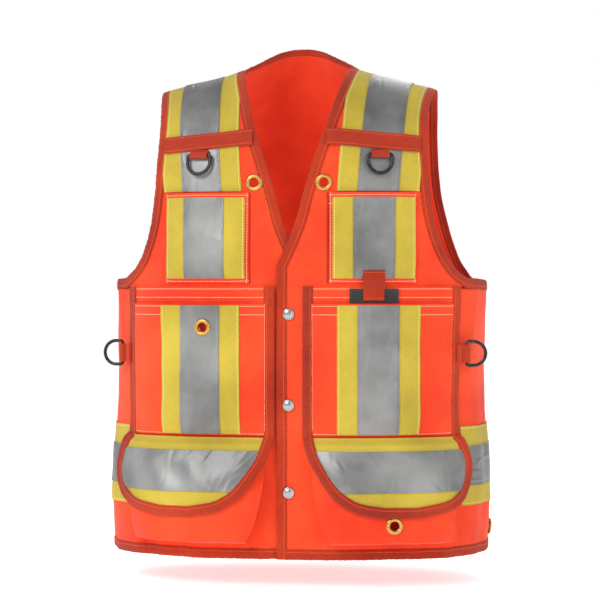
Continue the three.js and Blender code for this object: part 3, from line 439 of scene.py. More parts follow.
def use(tree, group, **inputs):
    made = node(tree, "ShaderNodeGroup", node_tree=group)
    for label, value in inputs.items():
        if isinstance(value, (int, float)):
            made.inputs[label].default_value = value
        else:
            tree.links.new(value, made.inputs[label])
    return made.outputs


def mixed(tree, share, first, second):
    """Colour between two colours or sockets, by a share"""
    made = node(tree, "ShaderNodeMix", data_type="RGBA")
    tree.links.new(share, made.inputs[0])
    for index, value in ((6, first), (7, second)):
        if isinstance(value, tuple):
            made.inputs[index].default_value = (*value, 1.0)
        else:
            tree.links.new(value, made.inputs[index])
    return made.outputs[2]


def attribute(tree, name):
    made = node(tree, "ShaderNodeAttribute", attribute_name=name)
    return made.outputs["Vector"]


def new_material(name):
    material = bpy.data.materials.new(name)
    material.use_nodes = True
    tree = material.node_tree
    return material, tree, tree.nodes["Principled BSDF"]


def bumped(tree, shader, height, distance=0.001, strength=1.0):
    bump = node(tree, "ShaderNodeBump")
    bump.inputs["Distance"].default_value = distance
    bump.inputs["Strength"].default_value = strength
    tree.links.new(height, bump.inputs["Height"])
    tree.links.new(bump.outputs["Normal"], shader.inputs["Normal"])


def cloth(name, lit, deep, pitch=0.8, weave_rise=0.05, rough=0.82, crease=0.8, thread=None,
          inset_u=None, inset_v=None, inset_far=None, sheen=0.1, gathers=0.0, painted_glow=0.0):
    """Woven material: lit and deep colours in random blotches of painted shade, its weave, rows of stitches
    in from its edges, creases, sheen and painted glow
    """
    material, tree, shader = new_material(name)
    run = attribute(tree, "run")
    edge = split(tree, attribute(tree, "edge"))
    along = split(tree, run)
    place_in = node(tree, "ShaderNodeTexCoord").outputs["Object"]
    # Its Shade output is painted shade; its creases and fuzz are the cloth's own wear
    worn = use(tree, mottle, Place=place_in)
    woven = use(tree, weave, Run=run, Pitch=pitch)
    height = math_node(tree, "MULTIPLY", woven["Height"], weave_rise)
    height = math_node(tree, "ADD", height, math_node(tree, "MULTIPLY", worn["Crease"], crease))
    height = math_node(tree, "ADD", height, math_node(tree, "MULTIPLY", worn["Fuzz"], 0.06))
    # Painted shade: the large blotches, with the fine fuzz, mix the deep and lit colours
    fuzz_and_painted_shade = math_node(tree, "MULTIPLY_ADD", worn["Fuzz"], 0.5, worn["Shade"])
    colour = mixed(tree, ramp(tree, fuzz_and_painted_shade, 0.5, 1.0), deep, lit)
    for inset, side, direction in ((inset_u, 0, 1), (inset_v, 1, 0), (inset_far, 2, 0)):
        if inset is None:
            continue
        sewn_row = use(tree, stitches, Distance=edge[side], Along=along[direction], Inset=inset, Length=3.4)
        height = math_node(tree, "ADD", height, sewn_row["Height"])
        if thread:
            colour = mixed(tree, sewn_row["Mask"], colour, thread)
    if gathers:
        drawn = use(tree, gather, Distance=edge[0], Along=along[1])
        height = math_node(tree, "ADD", height, math_node(tree, "MULTIPLY", drawn["Height"], gathers))
    bumped(tree, shader, height)
    tree.links.new(colour, shader.inputs["Base Color"])
    patchy = math_node(tree, "MULTIPLY_ADD", worn["Fuzz"], 0.12, rough - 0.06)
    tree.links.new(patchy, shader.inputs["Roughness"])
    shader.inputs["Sheen Weight"].default_value = sheen
    shader.inputs["Sheen Roughness"].default_value = 0.5
    shader.inputs["Specular IOR Level"].default_value = 0.25
    # Painted glow: the cloth gives off light in its own colour
    if painted_glow:
        tree.links.new(colour, shader.inputs["Emission Color"])
        shader.inputs["Emission Strength"].default_value = painted_glow
    return material


SHELL_THICKNESS = 1.6
SHOULDER_SEAM_DROP = 9.0
FRONT_TOP_LEVEL = TOP_LEVEL - SHOULDER_SEAM_DROP + 1.5 * SEAM_GAP
BACK_TOP_LEVEL = TOP_LEVEL + SHOULDER_SEAM_DROP - SEAM_GAP
SIDE_SEAM = -0.5 * SEAM_GAP / CHEST_HALF_WIDTH
# Lit and deep orange, mixed in random blotches as painted shade
ORANGE_LIT = (0.95, 0.08, 0.02)
ORANGE_DEEP = (0.74, 0.035, 0.008)
THREAD = (0.95, 0.16, 0.06)
orange = cloth("orange_cloth", ORANGE_LIT, ORANGE_DEEP, inset_u=3.0, inset_v=3.0, thread=THREAD,
               gathers=1.8, crease=2.2, painted_glow=0.05)
lower_levels = np.linspace(HEM_LEVEL, -CAP_DROP, 125)
shell_levels = np.concatenate([lower_levels, np.linspace(-CAP_DROP, TOP_LEVEL, 60)[1:]])
EYELET_CLEAR = 8.0


def hole_at(*seats):
    """Marks the points of a sheet that lie within the eyelets set at these seats"""
    def find(points):
        near = np.zeros(points.shape[:2], bool)
        for seat in seats:
            near |= np.linalg.norm(points - np.array(seat), axis=2) < EYELET_CLEAR
        return near
    return find


CHEST_SEAT_DROP = 156.0
CHEST_SEAT_X = 44.5
HEM_SEAT_DROP = BODY_HEIGHT - BINDING_WIDTH - 17.6
HEM_SEAT_TURN = QUARTER + 0.16


def chest_seat(side):
    """Place of a chest eyelet"""
    level = level_at(np.array(CHEST_SEAT_X), np.array(-CHEST_SEAT_DROP))
    return side * float(angle_at(CHEST_SEAT_X, level)), float(level)


def seat_point(angle, level, lift=0.0):
    """Middle of an eyelet or snap"""
    return on_cloth(np.array([angle]), np.array([level]), np.array([lift]))[0]


for word, side in SIDES:
    def front_place(u, level, side=side):
        inner = angle_at(neck_edge(level), level)
        outer = arm_edge(level, False) - SIDE_SEAM
        return side * (inner + (outer - inner) * u), level

    def dip(angle, level, side=side):
        return lap_dip(form(angle, level)[..., 0]) if side < 0 else 0.0

    front = sheet_piece(
        f"front_{word}", np.linspace(0, 1, 68)[::side], np.minimum(shell_levels, FRONT_TOP_LEVEL),
        front_place, lambda u, v, angle, level: dip(angle, level) - SHELL_THICKNESS,
        lambda u, v, angle, level: dip(angle, level), orange, skip=hole_at(seat_point(*chest_seat(side))),
    )
    sewn(front, [f"front_panel_{word}"])


def back_level(x, level, rows_above):
    """Level cut down to the back's scooped neckline"""
    inside = np.maximum(0, 1 - (x / NECK_POINT) ** 2)
    edge = BACK_TOP_LEVEL - CAP_SPAN * NECK_DIP * inside
    return np.minimum(level, edge - rows_above * 0.2 * np.minimum(1, 4 * inside))


def neck_edge_back(level):
    share = (BACK_TOP_LEVEL - level) / (CAP_SPAN * NECK_DIP)
    return NECK_POINT * np.sqrt(np.maximum(0, 1 - share))


def back_place(u, level):
    """Place on the back: u runs from 2 at the wearer's left side to -2 at the right"""
    neck = angle_at(NECK_POINT, level)
    arm = arm_edge(level, True) - SIDE_SEAM
    size = np.abs(u)
    angle = np.where(size < 1, neck * size, neck + (arm - neck) * (size - 1))
    turned = np.pi - np.sign(u) * angle
    rows_above = np.maximum(0, (BACK_TOP_LEVEL - level) / 4.0)
    return turned, back_level(form(turned, level)[..., 0], level, rows_above)


back_levels = np.append(shell_levels, BACK_TOP_LEVEL)
hem_seats = [seat_point(side * HEM_SEAT_TURN, -HEM_SEAT_DROP) for word, side in SIDES]
back = sheet_piece("back", np.linspace(2, -2, 165), back_levels, back_place, -SHELL_THICKNESS, 0.0, orange,
                   skip=hole_at(*hem_seats))
sewn(back, ["back_panel"])


# Bindings
# Folded ribbed tape, 10 mm wide, sewn over every cut edge; darker orange and slightly puckered.
# Each follows its edge on the shell, with the fold just past the cloth.
BIND_LIT = (0.6, 0.048, 0.008)
BIND_DEEP = (0.33, 0.018, 0.004)
BIND_THREAD = (0.85, 0.11, 0.03)
trim = cloth("orange_trim", BIND_LIT, BIND_DEEP, pitch=1.3, weave_rise=0.2, inset_u=4.2, thread=BIND_THREAD,
             gathers=0.9, painted_glow=0.03)
# Way round the fold: how far past the edge, and how high off the cloth
BIND_PROFILE = (
    (3.4, 0.5), (2.4, 1.15), (-1.5, 1.45), (-6.5, 1.25), (-9.0, 0.85), (-10.2, -0.1),
    (-10.3, -0.9), (-9.4, -1.9), (-6.0, -2.5), (-2.0, -2.5), (1.0, -2.1),
)


def length_along(line):
    """Distance in mm from a line's start to each of its points"""
    return np.concatenate([[0], np.cumsum(np.linalg.norm(np.diff(line, axis=0), axis=1))])


def binding_piece(name, stations, gathered=0.25, profile=BIND_PROFILE, facing=1.0):
    """Folded strip along stations of angle, level and lift; gathered sets how deep its puckers are"""
    angle, level, lift = (np.asarray(values, float) for values in stations)
    at = on_cloth(angle, level, lift)
    normal = outward(angle, level)
    along = np.gradient(at, axis=0)
    along /= np.linalg.norm(along, axis=1, keepdims=True)
    across = np.cross(along, normal)
    across /= np.linalg.norm(across, axis=1, keepdims=True)
    run = length_along(at)
    wave = np.sin(run / 1.35 + 1.7 * np.sin(run / 9.1)) + 0.6 * np.sin(run / 3.7)
    over = []
    inner = []
    for side, rise in profile:
        swing = gathered * wave * (0.35 + 0.65 * min(1.0, abs(side) / BINDING_WIDTH))
        over.append(at + across * (facing * side + 0.6 * swing)[:, None] + normal * (rise + swing)[:, None])
        inner.append(at + across * facing * side * 0.86 + normal * (rise * 0.6 - 0.3))
    order = 1 if facing > 0 else -1
    return grid_piece(name, np.stack(inner, 1)[:, ::order], np.stack(over, 1)[:, ::order], trim)


def resample(stations, pitch=2.2):
    """Stations set at an even spacing in mm along their line"""
    angle, level, lift = (np.asarray(values, float) for values in stations)
    run = length_along(on_cloth(angle, level, lift))
    fresh = np.linspace(0, run[-1], int(run[-1] / pitch) + 2)
    return [np.interp(fresh, run, values) for values in (angle, level, lift)]


straight_levels = np.linspace(-BODY_HEIGHT, -CAP_DROP, 200)
edge_levels = np.concatenate([straight_levels, np.linspace(2 - CAP_DROP, TOP_LEVEL, 60)])
edge_levels = np.minimum(edge_levels, FRONT_TOP_LEVEL)
edge_levels = edge_levels[: np.argmax(edge_levels >= FRONT_TOP_LEVEL) + 1]


def front_edge(side):
    x = side * neck_edge(edge_levels)
    return angle_at(x, edge_levels), edge_levels, (lap_dip(x) if side < 0 else np.zeros(len(x)))


back_us = np.linspace(0.97, -0.97, 60)
back_angle, scoop_level = back_place(back_us, np.full(60, BACK_TOP_LEVEL))
left_edge, right_edge = front_edge(1), front_edge(-1)
back_line = (np.pi - back_angle, 2 * TOP_LEVEL - scoop_level, np.zeros(60))
neck_line = [np.concatenate([left_edge[k], back_line[k], right_edge[k][::-1]]) for k in range(3)]
sewn(binding_piece("neck_edge_binding", resample(neck_line), gathered=0.3),
     ["neck_and_front_binding"])

hem_turns = np.concatenate([
    np.linspace(float(angle_at(-neck_edge(HEM_LEVEL), HEM_LEVEL)), -QUARTER, 60),
    np.linspace(-QUARTER, -3 * QUARTER, 110)[1:],
    np.linspace(-3 * QUARTER, float(angle_at(neck_edge(HEM_LEVEL), HEM_LEVEL)) - 4 * QUARTER, 60)[1:],
])
hem_levels = np.full(len(hem_turns), HEM_LEVEL)
hem_lift = np.where(hem_turns > -QUARTER, lap_dip(form(hem_turns, hem_levels)[..., 0]), 0.0)
sewn(binding_piece("hem_edge", resample((hem_turns, hem_levels, hem_lift)), gathered=0.4),
     ["hem_binding"])

for word, side in SIDES:
    levels = np.linspace(ARMPIT_LEVEL, TOP_LEVEL, 120)
    down = (side * arm_edge(levels, False))[::-1]
    up = side * (np.pi - arm_edge(levels, True))
    turns = np.concatenate([down[:-1], [side * QUARTER], up[1:]])
    heights = np.concatenate([levels[::-1][:-1], [ARMPIT_LEVEL], levels[1:]])
    stations = resample([turns, heights, np.zeros(len(turns))])
    sewn(binding_piece(f"armhole_edge_{word}", stations, gathered=0.22, facing=float(side)),
         [f"armhole_binding_{word}"])


# Reflective tape
# Contrast tape: fluorescent yellow woven ground, 101.6 mm wide, with a 50.8 mm glass bead silver stripe.
# A brace of it is sewn from each chest pocket over the shoulder to the top of the back pocket.
TAPE_WIDTH = 101.6
SILVER_WIDTH = 50.8
SILVER_OVER = 2.7
YELLOW_LIT = (0.6, 0.455, 0.052)
YELLOW_DEEP = (0.4, 0.3, 0.031)
YELLOW_THREAD = (0.8, 0.7, 0.2)
SILVER_LIT = (0.31, 0.31, 0.305)
SILVER_DEEP = (0.145, 0.145, 0.143)
# Painted highlight colour for the ridges of the wrinkles
SILVER_PAINTED_HIGHLIGHT = (0.56, 0.56, 0.55)
SILVER_METALLIC = 0.55
yellow = cloth("yellow_tape", YELLOW_LIT, YELLOW_DEEP, pitch=1.1, weave_rise=0.06, inset_u=2.4,
               thread=YELLOW_THREAD, crease=1.3, painted_glow=0.05)


def silver_material():
    """Glass bead stripe: fine bead grid, sharp handling wrinkles with a painted highlight on their ridges,
    satin lustre, and patches of uneven roughness painted darker and lighter as shade
    """
    material, tree, shader = new_material("silver_tape")
    run = attribute(tree, "run")
    place_in = node(tree, "ShaderNodeTexCoord").outputs["Object"]
    worn = use(tree, mottle, Place=place_in)
    beads = use(tree, weave, Run=run, Pitch=1.6)
    edge = split(tree, attribute(tree, "edge"))
    row = use(tree, stitches, Distance=edge[0], Along=split(tree, run)[1], Inset=1.8, Length=3.2)
    scaled = node(tree, "ShaderNodeMapping")
    scaled.inputs["Scale"].default_value = (0.028, 0.012, 1.0)
    tree.links.new(run, scaled.inputs["Vector"])
    sharp = creased(tree, scaled.outputs[0], 1.5, 1.4)
    height = math_node(tree, "MULTIPLY", beads["Height"], 0.03)
    height = math_node(tree, "ADD", height, math_node(tree, "MULTIPLY", sharp, 1.5))
    bumped(tree, shader, math_node(tree, "ADD", height, row["Height"]))
    # Painted shade: random blotches mix the deep and lit silver
    colour = mixed(tree, ramp(tree, worn["Shade"], 0.3, 0.7), SILVER_DEEP, SILVER_LIT)
    # Painted highlight: brighter silver along the wrinkles' ridges
    painted_highlight = math_node(tree, "MULTIPLY", ramp(tree, sharp, 0.9, 1.7), 0.35)
    tree.links.new(mixed(tree, painted_highlight, colour, SILVER_PAINTED_HIGHLIGHT), shader.inputs["Base Color"])
    rough = math_node(tree, "MULTIPLY_ADD", worn["Shade"], 0.22, 0.3)
    tree.links.new(rough, shader.inputs["Roughness"])
    shader.inputs["Metallic"].default_value = SILVER_METALLIC
    return material


# The two layers of the tape: name, width, lift of each face, material
silver = silver_material()
TAPE = (("yellow", TAPE_WIDTH, 0.5, 1.5, yellow), ("silver", SILVER_WIDTH, 1.9, SILVER_OVER, silver))
CHEST_POCKET_TOP = 169.0
BACK_POCKET_TOP = 144.0
BRACE_CENTRE = 112.0
CROSS_START = 53.0
BRACE_TURN = -100.0
BRACE_RISE_BEHIND = 0.7
BRACE_END = 2 * TOP_LEVEL + BACK_POCKET_TOP - 2
BRACE_LEVELS = (-CHEST_POCKET_TOP, BRACE_TURN, TOP_LEVEL, BRACE_END)
BRACE_CENTRES = (BRACE_CENTRE, BRACE_CENTRE + 5, BRACE_CENTRE + 14, CROSS_START)
brace_levels = np.concatenate([
    np.linspace(2 - CHEST_POCKET_TOP, FRONT_TOP_LEVEL, 80), [TOP_LEVEL],
    np.linspace(TOP_LEVEL + SHOULDER_SEAM_DROP, BRACE_END, 90),
])


def brace_place(side, width):
    """Brace of a given width; its slant widens it across, and the neck and armhole edges trim it"""
    def place(u, level):
        centre = np.interp(level, BRACE_LEVELS, BRACE_CENTRES)
        behind = level > TOP_LEVEL
        slant = np.where(behind, 1.05, 1.01)
        height = np.where(behind, 2 * TOP_LEVEL - level, level)
        arm = np.where(behind, arm_edge(height, True), arm_edge(height, False))
        arm_limit = form(arm, height)[..., 0] - 2 * SEAM_GAP
        neck_limit = np.where(behind, neck_edge_back(height), neck_edge(height)) + 2 * SEAM_GAP
        x = np.maximum(neck_limit, np.minimum(centre + u * side * width * slant, arm_limit))
        return side * angle_at(x, level), level
    return place


def brace_lift(lift):
    return lambda u, v, angle, level: lift + np.where(v > TOP_LEVEL, BRACE_RISE_BEHIND, 0.0)


for word, side in SIDES:
    for label, width, under, over, material in TAPE:
        brace = sheet_piece(f"shoulder_{label}_{word}", np.linspace(-0.5, 0.5, 30), brace_levels,
                            brace_place(side, width), brace_lift(under), brace_lift(over), material)
        sewn(brace, [f"brace_{label}_{word}"])


# Patch pockets
# Fronts of the same orange cloth, sewn on with room behind; yellow and silver tape runs down each.
# The lower pockets also have a rear layer, which shows above the front.
POCKET_CLOTH = 1.2
POCKET_ROOM = 6.5
POCKET_FADE = 32.0
POCKET_FOOT = 0.8
POCKET_FLAT = POCKET_FOOT + 2 * POCKET_CLOTH
POCKET_ROLL = 2.5
CHEST_BOTTOM = 284.0
CHEST_INNER = 51.0
CHEST_OUTER = 160.0
LOWER_TOP = 288.0
LOWER_FRONT_TOP = 310.0
LOWER_BOTTOM = 478.0
LOWER_INNER = 28.0
LOWER_OUTER = 206.0
LOWER_REAR_LAP = 26
POCKET_SEAT_X = 108.0
POCKET_SEAT_DROP = 30.0
CHEST_TAPE_MARGIN = 6
LOWER_TAPE_MARGIN = 2
PALE_THREAD = (0.98, 0.5, 0.36)
pocket_orange = cloth("pocket_cloth", ORANGE_LIT, ORANGE_DEEP, inset_u=2.6, inset_v=3.2, inset_far=14.0,
                      thread=PALE_THREAD, gathers=2.0, crease=2.2, painted_glow=0.05)


def pocket(side, inner, outer, top, bottom, sewn_sides=("inner", "outer", "bottom")):
    return {"inner": side * inner, "outer": side * outer, "top": -top, "bottom": -bottom, "sewn": sewn_sides}


def chest_pocket(side):
    return pocket(side, CHEST_INNER, CHEST_OUTER, CHEST_POCKET_TOP, CHEST_BOTTOM)


def lower_pocket(side):
    return pocket(side, LOWER_INNER, LOWER_OUTER, LOWER_FRONT_TOP, LOWER_BOTTOM)


def swell(distance):
    share = np.clip(distance / POCKET_FADE, 0, 1)
    return 1 - (1 - share) ** 2


def pocket_face(of, x, z):
    """How far the pocket's front stands off, with slack creases towards its open side"""
    full = POCKET_ROOM + np.zeros(np.shape(x))
    for edge, distance in (("inner", np.abs(x - of["inner"])), ("outer", np.abs(x - of["outer"])),
                           ("top", of["top"] - z), ("bottom", z - of["bottom"])):
        if edge in of["sewn"]:
            full = full * swell(distance)
    slack = 1.2 * np.sin(x / 11.0 + z / 23.0) * np.sin(z / 19.0 - x / 31.0) * full / POCKET_ROOM
    return POCKET_FLAT + full + slack


def patch_piece(name, xs, zs, under, over, material, behind=False, skip=None):
    """Cloth or tape laid on the front or the back between widths and heights"""
    def place(x, z):
        level = level_at(x, z)
        return angle_at(x, level, behind), level

    def raised(lift):
        return (lambda x, z, angle, level: lift(x, z)) if callable(lift) else lift

    columns = np.sort(xs)
    columns = columns[::-1] if behind else columns
    return sheet_piece(name, columns, np.sort(zs), place, raised(under), raised(over), material, skip)


def pocket_front(name, of, skip=None):
    """Front of a patch pocket, rolled under along its three sewn sides"""
    def over(x, z):
        near = np.minimum.reduce([np.abs(x - of["inner"]), np.abs(x - of["outer"]), z - of["bottom"]])
        turned = smoothstep(near, 0.0, POCKET_ROLL)
        return POCKET_FLAT * (0.65 + 0.35 * turned) + (pocket_face(of, x, z) - POCKET_FLAT) * turned

    xs = np.linspace(of["inner"], of["outer"], int(abs(of["outer"] - of["inner"]) / 2.2))
    zs = np.linspace(of["bottom"], of["top"], int((of["top"] - of["bottom"]) / 2.4))
    return patch_piece(name, xs, zs, lambda x, z: over(x, z) - POCKET_CLOTH, over, pocket_orange, skip=skip)


def sew_pocket_tape(kind, word, of, centre, margin, skip=None):
    """Both layers of the tape down a pocket's front"""
    for label, width, under, over, material in TAPE:
        xs = np.linspace(centre - width / 2, centre + width / 2, int(width / 3))
        zs = np.linspace(of["bottom"] + margin, of["top"] - margin, int((of["top"] - of["bottom"]) / 2.6))
        faces = [lambda x, z, lift=lift: pocket_face(of, x, z) + lift for lift in (under, over)]
        sewn(patch_piece(f"{kind}_{label}_{word}", xs, zs, *faces, material, skip=skip),
             [f"{kind}_pocket_{label}_{word}"])


def pocket_seat():
    """Place of the eyelet in the right lower pocket's front"""
    x, z = np.array([-POCKET_SEAT_X]), np.array([-(LOWER_FRONT_TOP + POCKET_SEAT_DROP)])
    return float(angle_at(x, z)[0]), float(z[0]), float(pocket_face(lower_pocket(-1), x, z)[0])


def rear_over(x, z):
    bent = smoothstep(z, -LOWER_TOP - 20, -LOWER_TOP)
    return POCKET_FOOT + POCKET_CLOTH + 0.5 * np.sin(x / 13) * bent


for word, side in SIDES:
    chest = chest_pocket(side)
    sewn(pocket_front(f"chest_patch_{word}", chest), [f"chest_pocket_{word}"])
    middle = side * (CHEST_INNER + CHEST_OUTER + 2) / 2
    sew_pocket_tape("chest", word, chest, middle, CHEST_TAPE_MARGIN)
    seam_x = side * (CHEST_INNER - 1.2)
    seam_levels = level_at(seam_x, np.linspace(-CHEST_BOTTOM, -CHEST_POCKET_TOP, 70))
    stations = (angle_at(seam_x, seam_levels), seam_levels, np.full(70, 0.6))
    narrow = [(reach * 0.16, max(rise * 0.5, -0.4)) for reach, rise in BIND_PROFILE]
    sewn(binding_piece(f"chest_seam_{word}", stations, gathered=0.1, profile=narrow),
         [f"chest_pocket_{word}"])

    lower = lower_pocket(side)
    gap = hole_at(seat_point(*pocket_seat())) if side < 0 else None
    sewn(pocket_front(f"lower_patch_{word}", lower, gap), [f"lower_pocket_{word}"])
    rear = patch_piece(f"lower_rear_{word}", np.linspace(side * LOWER_INNER, side * LOWER_OUTER, 80),
                       np.linspace(-LOWER_FRONT_TOP - LOWER_REAR_LAP, -LOWER_TOP, 22),
                       POCKET_FOOT, rear_over, pocket_orange)
    sewn(rear, [f"lower_pocket_{word}"])
    sew_pocket_tape("lower", word, lower, side * BRACE_CENTRE, LOWER_TAPE_MARGIN, gap)


# Back pocket and cross
# A large pocket of orange cloth, open down the wearer's left side and sewn on its other three.
# Two lengths of the contrast tape cross it in an X, the second laid over the first.
BACK_BOTTOM = 436.0
BACK_HALF_WIDTH = 150.0
CROSS_END = 106.0
CROSS_CUT = 16.0
CROSS_MARGIN = 2.4
CROSS_TOP = -BACK_POCKET_TOP - 1
CROSS_BOTTOM = -BACK_BOTTOM + 1
SECOND_TAPE = 2.6
back_pouch = pocket(1, -BACK_HALF_WIDTH, BACK_HALF_WIDTH, BACK_POCKET_TOP, BACK_BOTTOM,
                    ("inner", "top", "bottom"))
back_pouch_cloth = cloth("back_pocket_cloth", ORANGE_LIT, ORANGE_DEEP, inset_u=2.8, inset_v=2.8,
                         inset_far=9.5, thread=THREAD, gathers=2.2, crease=2.4, painted_glow=0.05)


def back_face(x, z):
    return pocket_face(back_pouch, x, z)


def back_front(x, z):
    near = np.minimum.reduce([x - back_pouch["inner"], back_pouch["top"] - z, z - back_pouch["bottom"]])
    return POCKET_FLAT + (back_face(x, z) - POCKET_FLAT) * smoothstep(near, 0.0, POCKET_ROLL)


sewn(patch_piece("back_patch", np.linspace(-BACK_HALF_WIDTH, BACK_HALF_WIDTH, 130),
                 np.linspace(-BACK_BOTTOM, -BACK_POCKET_TOP, 125),
                 lambda x, z: back_front(x, z) - POCKET_CLOTH, back_front, back_pouch_cloth, behind=True),
     ["back_pocket"])


def above(face, lift):
    """Height over a face that is given by width and height, for pieces placed by angle and level"""
    def height(u, v, angle, level):
        at = form(angle, level)
        return face(at[..., 0], at[..., 2]) + lift
    return height


def cross_place(side, width):
    """Slanting tape, cut off at an angle at the pocket's lower corner"""
    slope = (CROSS_START + CROSS_END) / (CROSS_TOP - CROSS_BOTTOM)
    half = width / 2 * np.hypot(1, slope)
    limit = BACK_HALF_WIDTH - CROSS_MARGIN

    def place(u, z):
        centre = side * (CROSS_START - (CROSS_TOP - z) * slope)
        corner = np.maximum(0, CROSS_CUT - (z - CROSS_BOTTOM))
        x = np.clip(centre + u * half, -limit + corner, limit - corner)
        return angle_at(x, z, True), level_at(x, z)
    return place


for letter, side, extra in (("a", 1, 0.0), ("b", -1, SECOND_TAPE)):
    for label, width, under, over, material in TAPE:
        tape = sheet_piece(
            f"cross_{label}_{letter}", np.linspace(1, -1, int(width / 2.4)),
            np.linspace(CROSS_BOTTOM, CROSS_TOP, 130), cross_place(side, width),
            above(back_face, under + extra), above(back_face, over + extra), material,
        )
        sewn(tape, [f"back_cross_{label}_{letter}"])


# Hip band
# The same contrast tape, from one lower pocket round the back to the other, sewn flat on the shell.
# Its long edges run round the body and not up it, so the two lengths of the pattern are swapped.
HIP_TOP = 468.0
hip_middle = -(HIP_TOP + TAPE_WIDTH / 2)
hip_first = float(angle_at(LOWER_OUTER + BINDING_WIDTH + 3 * SEAM_GAP, hip_middle))
for label, width, under, over, material in TAPE:
    turns = np.linspace(hip_first, 4 * QUARTER - hip_first, 330)
    heights = np.linspace(hip_middle - width / 2, hip_middle + width / 2, int(width / 3))
    band = sheet_piece(f"hip_{label}", turns, heights, lambda u, v: (u, v), under, over, material)
    for lengths in ("edge", "run"):
        data = band.data.attributes[lengths].data
        values = np.zeros(len(data) * 3)
        data.foreach_get("vector", values)
        data.foreach_set("vector", values.reshape(-1, 3)[:, [1, 0, 2]].ravel())
    sewn(band, [f"hip_band_{label}"])


# Bellows pouches
# Orange cloth boxes under the flaps, open at the top, with a pleated gusset down each side.
# They are sewn to the shell along the gussets and the bottom.
POUCH_BOTTOM = 616.0
POUCH_TOP = LOWER_BOTTOM + 13
POUCH_HEIGHT = POUCH_BOTTOM - POUCH_TOP
POUCH_DEPTH = 32.0
POUCH_CLOTH = 1.3
POUCH_SEAT_X = 128.0
POUCH_SEAT_RISE = 28.0
POCKET_WIDTH = LOWER_OUTER - LOWER_INNER
# Down the pouch, as shares: depth, and how far each side draws in
POUCH = {
    "drop": (0.0, 0.15, 0.35, 0.65, 0.9, 1.0),
    "depth": (0.34, 0.62, 0.85, 1.0, 1.0, 0.9),
    "inner": (0.0, 0.01, 0.02, 0.06, 0.12, 0.16),
    "outer": (0.0, 0.01, 0.02, 0.03, 0.05, 0.08),
}
# Out along a gusset: share of the full stand-off, and how far its pleat tucks in, in mm
GUSSET_STAND = (0.03, 0.3, 0.52, 0.72, 1.0)
GUSSET_TUCK = (0.0, 3.5, 6.0, 2.0, -1.0)
pouch_orange = cloth("pouch_cloth", ORANGE_LIT, ORANGE_DEEP, inset_v=3.0, thread=THREAD, gathers=1.4,
                     crease=2.8, painted_glow=0.04)


def pouch_face(x, z):
    size = np.abs(x)
    drop = (-z - POUCH_TOP) / POUCH_HEIGHT
    depth = POUCH_DEPTH * read(POUCH["drop"], POUCH["depth"], drop)
    middle = (LOWER_INNER + LOWER_OUTER) / 2 + 0.02 * POCKET_WIDTH
    share = np.minimum(1, np.abs(size - middle) / (0.57 * POCKET_WIDTH))
    rumple = 0.9 * np.sin(x / 9.0 + z / 17.0) + 0.7 * np.sin(z / 8.0 - x / 21.0)
    return POCKET_FLAT + (depth - POCKET_FLAT) * (1 - share**4) + rumple * smoothstep(drop, 0.0, 0.4)


def pouch_piece(name, side, skip):
    out = np.linspace(0, 1, len(GUSSET_STAND))
    stand = read(out, GUSSET_STAND, np.linspace(0, 1, 16))
    pleat = read(out, GUSSET_TUCK, np.linspace(0, 1, 16))
    faces = []
    for inward in (POUCH_CLOTH, 0.0):
        rows = []
        for drop in np.linspace(1, 0, 64):
            z = -POUCH_TOP - POUCH_HEIGHT * drop
            inner = LOWER_INNER + POCKET_WIDTH * float(read(POUCH["drop"], POUCH["inner"], drop))
            outer = LOWER_OUTER - POCKET_WIDTH * float(read(POUCH["drop"], POUCH["outer"], drop))
            across = np.linspace(inner, outer, 66)[1:-1]
            face = pouch_face(side * across, np.full(len(across), z))
            round_off = smoothstep(np.minimum(across - inner, outer - across), -2.0, 7.0)
            face = POCKET_FLAT + (face - POCKET_FLAT) * (0.82 + 0.18 * round_off)
            xs = np.concatenate([inner + pleat, across, (outer - pleat)[::-1]])
            lifts = np.concatenate([stand * face[0], face, (stand * face[-1])[::-1]]) - inward
            shut = 1 - smoothstep(1 - drop, 0.0, 0.05)
            lifts = lifts * (1 - shut) + (POCKET_FOOT + POUCH_CLOTH - inward) * shut
            rows.append((xs * side, np.full(len(xs), z), np.maximum(lifts, SEAM_GAP + POUCH_CLOTH - inward)))
        xs, zs, lifts = (np.array([row[k] for row in rows]) for k in range(3))
        faces.append(on_cloth(angle_at(xs, zs), zs, lifts)[:, ::side])
    return grid_piece(name, *faces, pouch_orange, skip=skip(faces[1]) if skip else None)


def pouch_seat():
    """Place of the eyelet near the left pouch's foot"""
    x, z = np.array([POUCH_SEAT_X]), np.array([-(POUCH_BOTTOM - POUCH_SEAT_RISE)])
    return float(angle_at(x, z)[0]), float(z[0]), float(pouch_face(x, z)[0])


for word, side in SIDES:
    hole = hole_at(seat_point(*pouch_seat())) if side > 0 else None
    sewn(pouch_piece(f"bellows_{word}", side, hole), [f"pouch_{word}"])


# Flaps
# Each hangs from the pocket's bottom over the pouch: yellow tape cloth with a silver stripe across it.
# One folded binding runs down both sides of the lower pocket and round the flap's edge.
FLAP_TOP = LOWER_BOTTOM + 2
FLAP_HEIGHT = 88.0
FLAP_THICKNESS = 1.6
FLAP_CLEAR = 3.0
FLAP_STRIPE_INSET = 1.5
SILVER_FROM = 0.18
SILVER_TO = SILVER_FROM + SILVER_WIDTH / FLAP_HEIGHT
FLAP = {
    "drop": (0.0, 0.25, 0.5, 0.7, 0.85, 0.95, 1.0),
    "inner": (0.0, 0.04, 0.11, 0.18, 0.26, 0.37, 0.5),
    "outer": (1.0, 1.04, 1.05, 1.02, 0.95, 0.84, 0.7),
}


def flap_side(which, drop):
    return LOWER_INNER + POCKET_WIDTH * read(FLAP["drop"], FLAP[which], drop)


